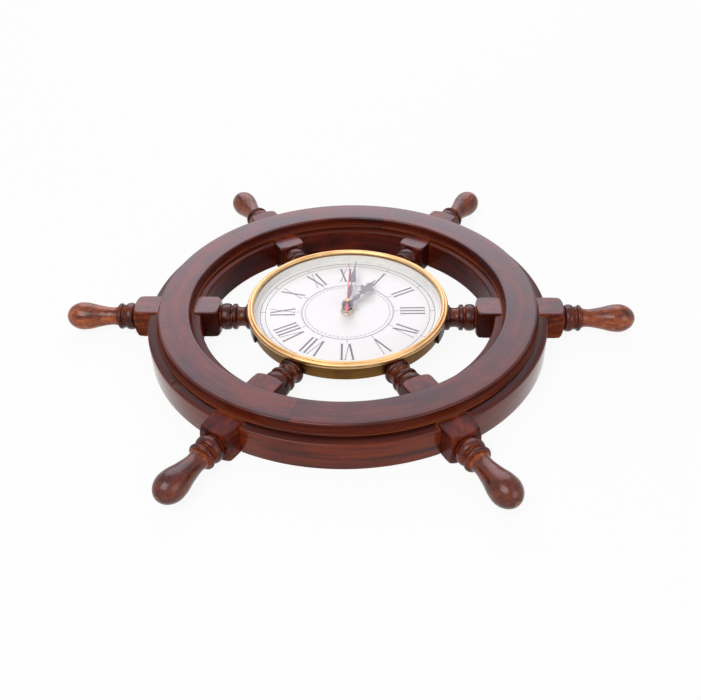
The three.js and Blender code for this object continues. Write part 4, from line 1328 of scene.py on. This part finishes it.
@dataclass(frozen=True)
class Case:
    """Wooden hub with its cheeks, brass case, bezel, glass and the ring round the dial."""

    workshop: Workshop
    sizes: CaseSizes = CaseSizes()

    # The bezel's bead, groove, crest and thin lip, (r, z), and the reach of each corner's easing
    BEZEL = (
        (77.25, 23.2), (80.0, 23.2), (80.0, 25.9), (79.0, 27.1), (77.9, 26.4), (77.0, 28.1),
        (75.7, 27.8), (74.7, 26.6), (74.7, 25.75), (76.2, 25.75), (76.2, 24.1), (77.25, 24.1),
    )
    BEZEL_REACHES = (0.2, 1.1, 1.2, 0.7, 0.35, 0.8, 0.8, 0.3, 0.1, 0.1, 0.1, 0.1)

    @staticmethod
    def even_wear_and_shade(board: np.ndarray, stains: list[float], lacquer: float) -> Attributes:
        """Attributes of a wooden piece with the same wear and painted shade all over.

        Args:
            board: its coordinates in the board.
            stains: its shares of pooled stain, dark stain with painted shade, and wax.
            lacquer: its share of lacquer.

        Returns:
            The board's coordinates, the attribute of stains, painted shade and wax, and "lacquer".
        """
        return {
            "board": board,
            "wear_and_painted_light": np.broadcast_to(stains, board.shape),
            "lacquer": np.full(board.shape[:2], lacquer),
        }

    def build_hub(self) -> None:
        """Makes the hub: a stepped disc with a window for the movement.

        At angle a the window's edge lies at min(w/|cos a|, h/|sin a|), with h above or below the
        axis, and the disc's section is carried round from there to its outer edge.
        """
        s = self.sizes
        half, above, below = s.window_half, s.window_above, s.window_below
        corners = np.arctan2([above, above, -below, -below], [half, -half] * 2) % FULL_TURN
        angle = np.union1d(np.linspace(0, FULL_TURN, 288, endpoint=False), corners)[:, None]
        height = np.where(np.sin(angle) > 0, above, below)
        across, along = np.abs(np.cos(angle)), np.abs(np.sin(angle))
        window = np.minimum(half / np.maximum(across, 1e-6), height / np.maximum(along, 1e-6))
        outline = [
            (0, s.hub_bottom), (s.hub_radius, s.hub_bottom), (s.hub_radius, s.hub_step),
            (s.insert, s.hub_step), (s.insert, s.hub_top), (0, s.hub_top),
        ]
        outer_r, outer_z = rounded(outline, [0, 1.2, 0.3, 0.3, 0.6, 0])[5:-5].T
        outer_r = np.broadcast_to(outer_r, (len(angle), len(outer_r)))
        r = np.hstack([window, window + s.hub_edge, outer_r, window + 0.2, window])
        z = np.hstack([s.hub_bottom + s.hub_edge, s.hub_bottom, outer_z, s.hub_top, s.hub_top - 0.2])
        rows = round_axis(r, angle, z)
        board = board_of(rows, grain=0.3, number=30)
        attributes = self.even_wear_and_shade(board, stains=[0.0, 0.3, 0.0], lacquer=0.2)
        self.workshop.fit_rows("hub", rows, Look.WOOD, attributes, ring=True)

    def build_cheeks(self) -> None:
        """Makes the four cheeks: an eased section carried along the case's side.

        At a share u of its length from an end the section is drawn in about its middle by
        k (1 - u / t)^2, with thinning k and taper t, and not at all past u = t.
        """
        s = self.sizes
        corners = rectangle(s.radius + s.cheek_gap, s.radius + s.cheek_thick, s.bottom, s.cheek_top)
        section = rounded(corners, [0.2, 0.7, 0.7, 0.2])
        middle = section.mean(axis=0)
        share = np.array([0, 0.012, 0.04, *np.linspace(0.1, 0.9, 14), 0.96, 0.988, 1.0])
        into = np.clip(1 - np.minimum(share, 1 - share) / s.cheek_taper, 0, 1)
        swell = 1 - s.cheek_thinning * into**2
        r, z = (middle + (section - middle) * swell[:, None, None]).transpose(2, 0, 1)
        cheeks = {
            "right_upper": (s.cheek_start, s.cheek_end),
            "left_upper": (180 - s.cheek_end, 180 - s.cheek_start),
            "left_lower": (180 + s.cheek_start, 180 + s.cheek_end),
            "right_lower": (360 - s.cheek_end, 360 - s.cheek_start),
        }
        for number, (name, (start, end)) in enumerate(cheeks.items()):
            rows = round_axis(r, np.radians(start + (end - start) * share)[:, None], z)
            board = board_of(rows, math.radians((start + end) / 2) + np.pi / 2, 40 + number)
            # The cheeks' dark share is painted shade, as they sit beside the drum under the bezel.
            attributes = self.even_wear_and_shade(board, stains=[0.2, 0.8, 0.0], lacquer=0.12)
            self.workshop.fit_rows(f"hub_cheek_{name}", rows, Look.WOOD, attributes)

    def build_rings(self) -> None:
        """Makes the case's sheet and the bezel."""
        s = self.sizes
        inner, floor = s.radius - s.wall, s.bottom + s.wall
        sheet = [
            (s.lip, s.bottom), (s.radius, s.bottom), (s.radius, s.top),
            (inner, s.top), (inner, floor), (s.lip, floor),
        ]
        reaches = [0.2, 1.2, 0.2, 0.2, 0.5, 0.2]
        self.workshop.fit_ring("clock_case", Look.AGED_BRASS, sheet, reaches, steps=240)
        self.workshop.fit_ring("bezel", Look.BRASS, self.BEZEL, self.BEZEL_REACHES, steps=288, ease=6)

    def build_glass(self) -> None:
        """Makes the glass, a full dome with a flat rim, and the white ring that it rests on.

        The dome's height at radius r is H (1 - (r/D)^n), with dome height H, dome radius D and
        fullness n.
        """
        s = self.sizes
        share = np.sin(np.linspace(0.001, np.pi / 2, 44))
        rise = s.dome_height * (1 - share**s.dome_fullness)
        under = np.stack([s.dome_radius * share, s.glass_foot + rise], axis=-1)
        edge, top = s.glass_edge, s.glass_foot + s.glass_thick
        rim = [
            (s.insert - edge, s.glass_foot), (s.insert, s.glass_foot + edge),
            (s.insert, top - edge), (s.insert - edge, top),
        ]
        profile = np.concatenate([under, rim, under[::-1] + [0.0, s.glass_thick]])
        glass = turned_solid("dome_glass.fine", profile, steps=192)
        self.workshop.fit(glass, Look.GLASS, replaced=("dome_glass",))
        low, high = s.dial_face + s.spacer_gap, s.glass_foot - s.spacer_gap
        spacer = rectangle(s.insert - s.spacer_width, s.insert, low, high)
        reaches = [0.3, 0.2, 0.2, 0.5]
        self.workshop.fit_ring("spacer_ring", Look.WHITE_PLASTIC, spacer, reaches, steps=192)

    def build(self) -> None:
        """Makes all pieces of the case."""
        self.build_hub()
        self.build_cheeks()
        self.build_rings()
        self.build_glass()


@dataclass(frozen=True)
class Stroke:
    """A straight stroke of a numeral: where it stands at its foot and its top, and its width."""

    foot: float
    top: float
    width: float


@dataclass(frozen=True)
class DialSizes:
    """Layout of the dial's print.

    A ring has its radius, its line's width and its ink. Bars, ticks and dashes have their inner
    radius, their outer radius and their width.
    """

    rings: tuple[tuple[float, float, Look], ...] = (
        (70.0, 0.45, Look.INK),
        (66.0, 0.4, Look.INK),
        (36.8, 1.15, Look.PALE_INK),
    )
    bars: tuple[float, float, float] = (66.0, 70.0, 0.5)
    inner_ticks: tuple[float, float, float] = (37.4, 41.4, 0.45)
    dashes: tuple[float, float, float] = (33.65, 34.35, 1.6)
    numeral_foot: float = 42.4
    numeral_height: float = 19.6
    serif_reach: float = 0.75
    serif_height: float = 0.32
    ink_foot: float = 18.02
    ink_top: float = 18.06
    ink_step: float = 0.0004  # between the tops of neighbouring marks
    turn: float = 1.6  # degrees anticlockwise, of the whole dial


@dataclass(frozen=True)
class Dial:
    """White enamelled dial with Roman numerals that stand with their feet to the centre."""

    workshop: Workshop
    sizes: DialSizes = DialSizes()
    case: CaseSizes = CaseSizes()

    THICK, THIN = 1.5, 0.55
    LETTERS = {
        "I": (3.9, (Stroke(0.0, 0.0, THICK),)),
        "V": (7.8, (Stroke(0.0, -3.0, THICK), Stroke(0.35, 3.2, THIN))),
        "X": (7.2, (Stroke(2.4, -2.4, THICK), Stroke(-2.4, 2.4, THIN))),
    }
    NUMERALS = ("XII", "I", "II", "III", "IV", "V", "VI", "VII", "VIII", "IX", "X", "XI")

    def strokes(self, numeral: str) -> list[Outline]:
        """Outlines of one numeral's strokes and serifs.

        Args:
            numeral: the Roman numeral.

        Returns:
            Four-cornered outlines in (across, up), with the numeral centred.
        """
        s = self.sizes
        height, serif = s.numeral_height, s.serif_height
        left = -sum(self.LETTERS[letter][0] for letter in numeral) / 2
        outlines = []
        for letter in numeral:
            advance, strokes = self.LETTERS[letter]
            middle = left + advance / 2
            for stroke in strokes:
                half = stroke.width / 2
                reach = half + s.serif_reach
                foot, top = middle + stroke.foot, middle + stroke.top
                feet = [(foot - half, 0), (foot + half, 0)]
                outlines.append([*feet, (top + half, height), (top - half, height)])
                outlines.append(rectangle(top - reach, top + reach, height - serif, height))
                if letter != "V":
                    outlines.append(rectangle(foot - reach, foot + reach, 0.0, serif))
            left += advance
        return outlines

    @staticmethod
    def bar(inner: float, outer: float, width: float) -> Outline:
        """Corners of a radial bar, (across, radius)."""
        return rectangle(-width / 2, width / 2, inner, outer)

    def marks(self) -> np.ndarray:
        """Outlines of all numerals, bars, ticks and dashes on the dial.

        A mark at (u, v), across and up from radius R at hour angle a clockwise from twelve, lies at
        ((R+v) sin a + u cos a, (R+v) cos a - u sin a).

        Returns:
            Outlines, shape (k, 4, 2).
        """
        s = self.sizes
        shapes, angles = [], []
        for hour, numeral in enumerate(self.NUMERALS):
            letters = [[(u, s.numeral_foot + v) for u, v in outline] for outline in self.strokes(numeral)]
            hour_marks = [*letters, self.bar(*s.bars), self.bar(*s.inner_ticks)]
            shapes += hour_marks
            angles += [hour * FULL_TURN / 12] * len(hour_marks)
        shapes += [self.bar(*s.dashes)] * 60
        angles += [minute * FULL_TURN / 60 for minute in range(60)]
        across, radius = np.array(shapes).transpose(2, 0, 1)
        a = (np.array(angles) - math.radians(s.turn))[:, None]
        turned = radius * np.sin(a) + across * np.cos(a), radius * np.cos(a) - across * np.sin(a)
        return np.stack(turned, axis=-1)

    def build(self) -> None:
        """Makes the dial and its print."""
        s, case = self.sizes, self.case
        plate = rectangle(case.dial_bore, case.insert, case.dial_back, case.dial_face)
        self.workshop.fit_ring("dial", Look.ENAMEL, plate, [0.1, 0.1, 0.15, 0.15], steps=192)
        for number, (radius, width, ink) in enumerate(s.rings):
            line = np.array(rectangle(radius - width / 2, radius + width / 2, s.ink_foot, s.ink_top))
            self.workshop.fit(turned_ring(f"dial_print.ring_{number + 1}", line, steps=240), ink)
        outlines = self.marks()
        # Neighbours' tops differ a little in height, so that the top faces of crossing strokes share no
        # plane.
        step = s.ink_step * (np.arange(len(outlines)) % 12)
        marks = plates("dial_print.numerals", outlines, s.ink_foot + 0 * step, s.ink_top + step)
        self.workshop.fit(marks, Look.INK)


@dataclass(frozen=True)
class Hand:
    """One stamped hand: a blade with a curved outline on a boss.

    The outline lists (half width, share of the way from the boss to the tip).
    """

    node: str
    body: str
    look: Look
    top: float
    boss: float
    bore: float
    length: float
    turn: float
    outline: Outline
    tail: Outline = ()
    tail_length: float = 0.0
    thick: float = 0.4
    boss_rise: float = 0.05
    boss_drop: float = 0.05
    least_half: float = 0.12


@dataclass(frozen=True)
class Hands:
    """Hour, minute and second hands at the time in the photograph, and the second hand's cap."""

    workshop: Workshop

    HANDS = (
        Hand(
            "hour_hand", "hour", Look.GREY_PAINT,
            top=24.1, boss=4.6, bore=2.75, length=42.6, turn=31.0, boss_rise=1.7,
            outline=((1.3, 0), (1.2, 0.12), (2.5, 0.21), (2.3, 0.28), (1.0, 0.36), (1.1, 0.43), (3.3, 0.46),
             (2.2, 0.52), (5.6, 0.63), (6.0, 0.68), (4.4, 0.7), (3.2, 0.67), (2.6, 0.74), (3.2, 0.81),
             (1.6, 0.84), (0.7, 0.89), (0.45, 1)),
        ),
        Hand(
            "minute_hand", "minute", Look.GREY_PAINT,
            top=26.5, boss=3.4, bore=1.6, length=62.4, turn=4.9, boss_rise=1.7,
            outline=((0.9, 0), (1.0, 0.08), (1.8, 0.16), (2.1, 0.25), (1.6, 0.33), (0.6, 0.4), (0.7, 0.46),
             (2.1, 0.48), (1.3, 0.53), (2.6, 0.58), (1.7, 0.64), (1.9, 0.67), (0.9, 0.72), (0.6, 0.81),
             (0.25, 1)),
        ),
        Hand(
            "second_hand", "seconds", Look.RED_PAINT,
            top=28.9, boss=1.6, bore=0.5, length=55.4, turn=0.2, tail_length=13.0,
            outline=((0.45, 0), (0.4, 0.4), (0.25, 1)),
            tail=((0.6, 0.1), (0.7, 0.4), (1.5, 0.78), (1.3, 0.94), (0.2, 1)),
        ),
    )
    CAP = (
        (0.02, 28.97), (2.3, 28.97), (2.6, 29.2), (2.5, 29.5), (2.0, 29.72), (1.0, 29.82), (0.02, 29.85)
    )

    def blade(self, name: str, hand: Hand, outline: Outline, reach: float) -> None:
        """Makes one blade, mirrored about its middle line.

        Args:
            name: the piece's name.
            hand: the hand.
            outline: (half width, share) along the blade.
            reach: distance of the tip from the axis, below 0 for a tail.
        """
        half, share = smooth_through(outline, 16 * len(outline)).T
        foot = 0.8 * hand.boss * math.copysign(1, reach)
        along = foot + (reach - foot) * share
        side = np.stack([np.maximum(half, hand.least_half), along, 0 * along], axis=-1)
        mirrored = np.concatenate([side, side[::-1] * [-1, 1, 1]])
        points = turned_about_axis(mirrored, -math.radians(hand.turn))
        heights = np.array([hand.top - hand.thick]), np.array([hand.top])
        blade = plates(name, points[None, :, :2], *heights, edge=0.004)
        self.workshop.fit(blade, hand.look, hand.body)

    def build(self) -> None:
        """Makes the three hands and the cap."""
        for hand in self.HANDS:
            self.blade(f"{hand.node}.blade", hand, hand.outline, hand.length)
            if hand.tail:
                self.blade(f"{hand.node}.tail", hand, hand.tail, -hand.tail_length)
            low, high = hand.top - hand.thick - hand.boss_drop, hand.top + hand.boss_rise
            section = rounded(rectangle(hand.bore, hand.boss, low, high), [0.05, 0.1, 0.15, 0.1])
            boss = turned_ring(f"{hand.node}.boss", section, steps=64)
            self.workshop.fit(boss, hand.look, hand.body, (hand.node,))
        cap = turned_solid("second_hand_cap.fine", np.array(self.CAP), steps=48)
        self.workshop.fit(cap, Look.GILT_BRASS, "seconds", ("second_hand_cap",))


@dataclass(frozen=True)
class Movement:
    """Quartz movement behind the dial, with the round flanged nut that holds it there."""

    workshop: Workshop

    NODES = {
        Look.BLACK_PLASTIC: ("movement_front", "movement_back", "setting_knob", "rotor"),
        Look.RUBBER: ("washer",),
        Look.WHITE_PLASTIC: ("fifth_wheel", "third_wheel", "motion_wheel", "hour_wheel"),
        Look.STEEL: (
            "seconds_wheel", "centre_wheel", "cannon_pinion", "stator", "coil_core", "quartz_crystal",
            "contact_plus", "contact_minus",
        ),
        Look.COPPER: ("coil",),
        Look.BOARD: ("circuit_board",),
        Look.JACKET: ("battery",),
    }
    NUT = ((3.98, 18.05), (5.7, 18.05), (5.7, 18.8), (5.2, 19.2), (5.2, 22.3), (3.98, 22.3))

    def build(self) -> None:
        """Paints the movement's nodes and makes the nut."""
        for look, nodes in self.NODES.items():
            for node in nodes:
                self.workshop.paint_node(node, look)
        reaches = [0.1, 0.2, 0.3, 0.2, 0.5, 0.2]
        self.workshop.fit_ring("fixing_nut", Look.PLATED_BRASS, self.NUT, reaches, steps=96)


@dataclass(frozen=True)
class Softbox:
    """A rectangular lamp that looks at the clock: place and sides in metres, power in watts."""

    name: str
    place: tuple[float, float, float]
    size: Pair
    power: float
    tint: str = "#fdfdf8"

    def hang(self, aim: float = 0.015) -> None:
        """Adds the lamp.

        Args:
            aim: height in metres of the point on the clock's axis that it looks at.
        """
        light = bpy.data.lights.new(self.name, "AREA")
        light.shape = "RECTANGLE"
        light.size, light.size_y = self.size
        light.energy = self.power
        light.color = srgb(self.tint)[:3]
        lamp = new_object(self.name, light)
        direction = Vector((0, 0, aim)) - Vector(self.place)
        lamp.rotation_euler = direction.to_track_quat("-Z", "Y").to_euler()
        lamp.location = self.place


@dataclass(frozen=True)
class PhotoCamera:
    """The camera where the photograph was taken from, as fitted to the wheel's circles."""

    elevation: float = 38.227  # degrees above the horizon
    azimuth: float = 2.902  # degrees round the clock from straight below six o'clock
    roll: float = -1.467  # degrees about the line of sight
    distance: float = 0.715896  # metres from the wheel's middle along the line of sight
    shift: Pair = (0.002247, -0.026667)  # metres that it stands to the right and up
    middle: float = 0.0125  # height of the wheel's middle in metres
    focal_pixels: float = 886.781  # focal length in pixels of the photograph
    width_pixels: float = 701.0  # width of the photograph
    sensor: float = 36.0  # width of the camera's sensor in millimetres
    nearest: float = 0.01  # metres from which on things are seen

    def set_up(self) -> None:
        """Makes the camera and gives it to the scene."""
        e, a, t = math.radians(self.elevation), math.radians(self.azimuth), math.radians(self.roll)
        back = Vector((math.sin(a) * math.cos(e), -math.cos(a) * math.cos(e), math.sin(e)))
        level = Vector((math.cos(a), math.sin(a), 0))
        steep = back.cross(level)
        right = math.cos(t) * level + math.sin(t) * steep
        up = -math.sin(t) * level + math.cos(t) * steep
        data = bpy.data.cameras.new("camera")
        data.sensor_width = self.sensor
        data.lens = self.focal_pixels / self.width_pixels * self.sensor
        data.clip_start = self.nearest
        turn = Matrix((right, up, back)).transposed().to_4x4()
        aside, above = self.shift
        stand = aside * right + above * up + self.distance * back + Vector((0, 0, self.middle))
        camera = new_object("camera", data)
        camera.matrix_world = Matrix.Translation(stand) @ turn
        bpy.context.scene.camera = camera


@dataclass(frozen=True)
class Studio:
    """White product studio: pale floor, even light and the photograph's camera. Sizes in metres."""

    floor_size: float = 9.0
    floor_drop: float = 0.0004
    floor_glow: float = 0.92  # share of plain white in the floor that the camera sees
    even_light: float = 0.2  # strength of the room's light on matt surfaces

    SOFTBOXES = (
        Softbox("back_softbox", (-0.1, 1.2, 1.0), (1.6, 1.1), 13.4, "#f8f0ff"),
        Softbox("key_softbox", (-0.5, -0.8, 1.2), (1.0, 0.9), 13.5),
        Softbox("fill_softbox", (1.0, -0.9, 0.6), (1.0, 0.8), 4.4),
    )

    def build_floor(self) -> None:
        """Lays the floor: matt white paper that stays pale to the camera and keeps a soft shadow."""
        half = self.floor_size / 2
        corners = [(x, y, -self.floor_drop) for x, y in rectangle(-half, half, -half, half)]
        mesh = bpy.data.meshes.new("floor")
        mesh.from_pydata(corners, [], [(0, 1, 2, 3)])
        paper = new_material("white_paper")
        share = arithmetic(paper, "MULTIPLY", self.seen_or_mirrored(paper), self.floor_glow)
        matt = add_node(paper, "BsdfPrincipled", {"Base Color": srgb("#f3f3f5"), "Roughness": 1.0})
        glow = add_node(paper, "Emission", {"Color": srgb("#ffffff"), "Strength": 1.0})
        mixed = add_node(paper, "MixShader", {0: share, 1: matt["BSDF"], 2: glow["Emission"]})
        add_node(paper, "OutputMaterial", {"Surface": mixed["Shader"]})
        mesh.materials.append(paper)
        floor = new_object("floor", mesh)

    @staticmethod
    def seen_or_mirrored(owner: Owner) -> Socket:
        """1 for what the camera sees, also in a mirror or through glass, and 0 for matt light.

        Args:
            owner: the floor's material or the world.

        Returns:
            The output that holds it.
        """
        path = add_node(owner, "LightPath")
        straight = arithmetic(owner, "ADD", path["Is Camera Ray"], path["Is Glossy Ray"])
        return arithmetic(owner, "ADD", straight, path["Is Transmission Ray"], clamp=True)

    def build_world(self) -> None:
        """Surrounds the clock with white, as seen and mirrored, and with weaker even light."""
        world = bpy.data.worlds.new("white_room")
        world.use_nodes = True
        world.node_tree.nodes.clear()
        strength = rescaled(world, self.seen_or_mirrored(world), (0.0, 1.0), (self.even_light, 1.0))
        room = add_node(world, "Background", {"Color": srgb("#fbfbff"), "Strength": strength})
        add_node(world, "OutputWorld", {"Surface": room["Background"]})
        bpy.context.scene.world = world

    def build(self) -> None:
        """Makes the studio."""
        self.build_floor()
        self.build_world()
        for softbox in self.SOFTBOXES:
            softbox.hang()
        PhotoCamera().set_up()
        bpy.context.scene.view_settings.view_transform = "Standard"


def main() -> None:
    """Builds the clock and its studio."""
    logging.basicConfig(level=logging.INFO, format="%(name)s: %(message)s")
    workshop = Workshop()
    Spokes(workshop).build()
    Rim(workshop).build()
    Case(workshop).build()
    Dial(workshop).build()
    Hands(workshop).build()
    Movement(workshop).build()
    Studio().build()


if __name__ == "__main__":
    main()
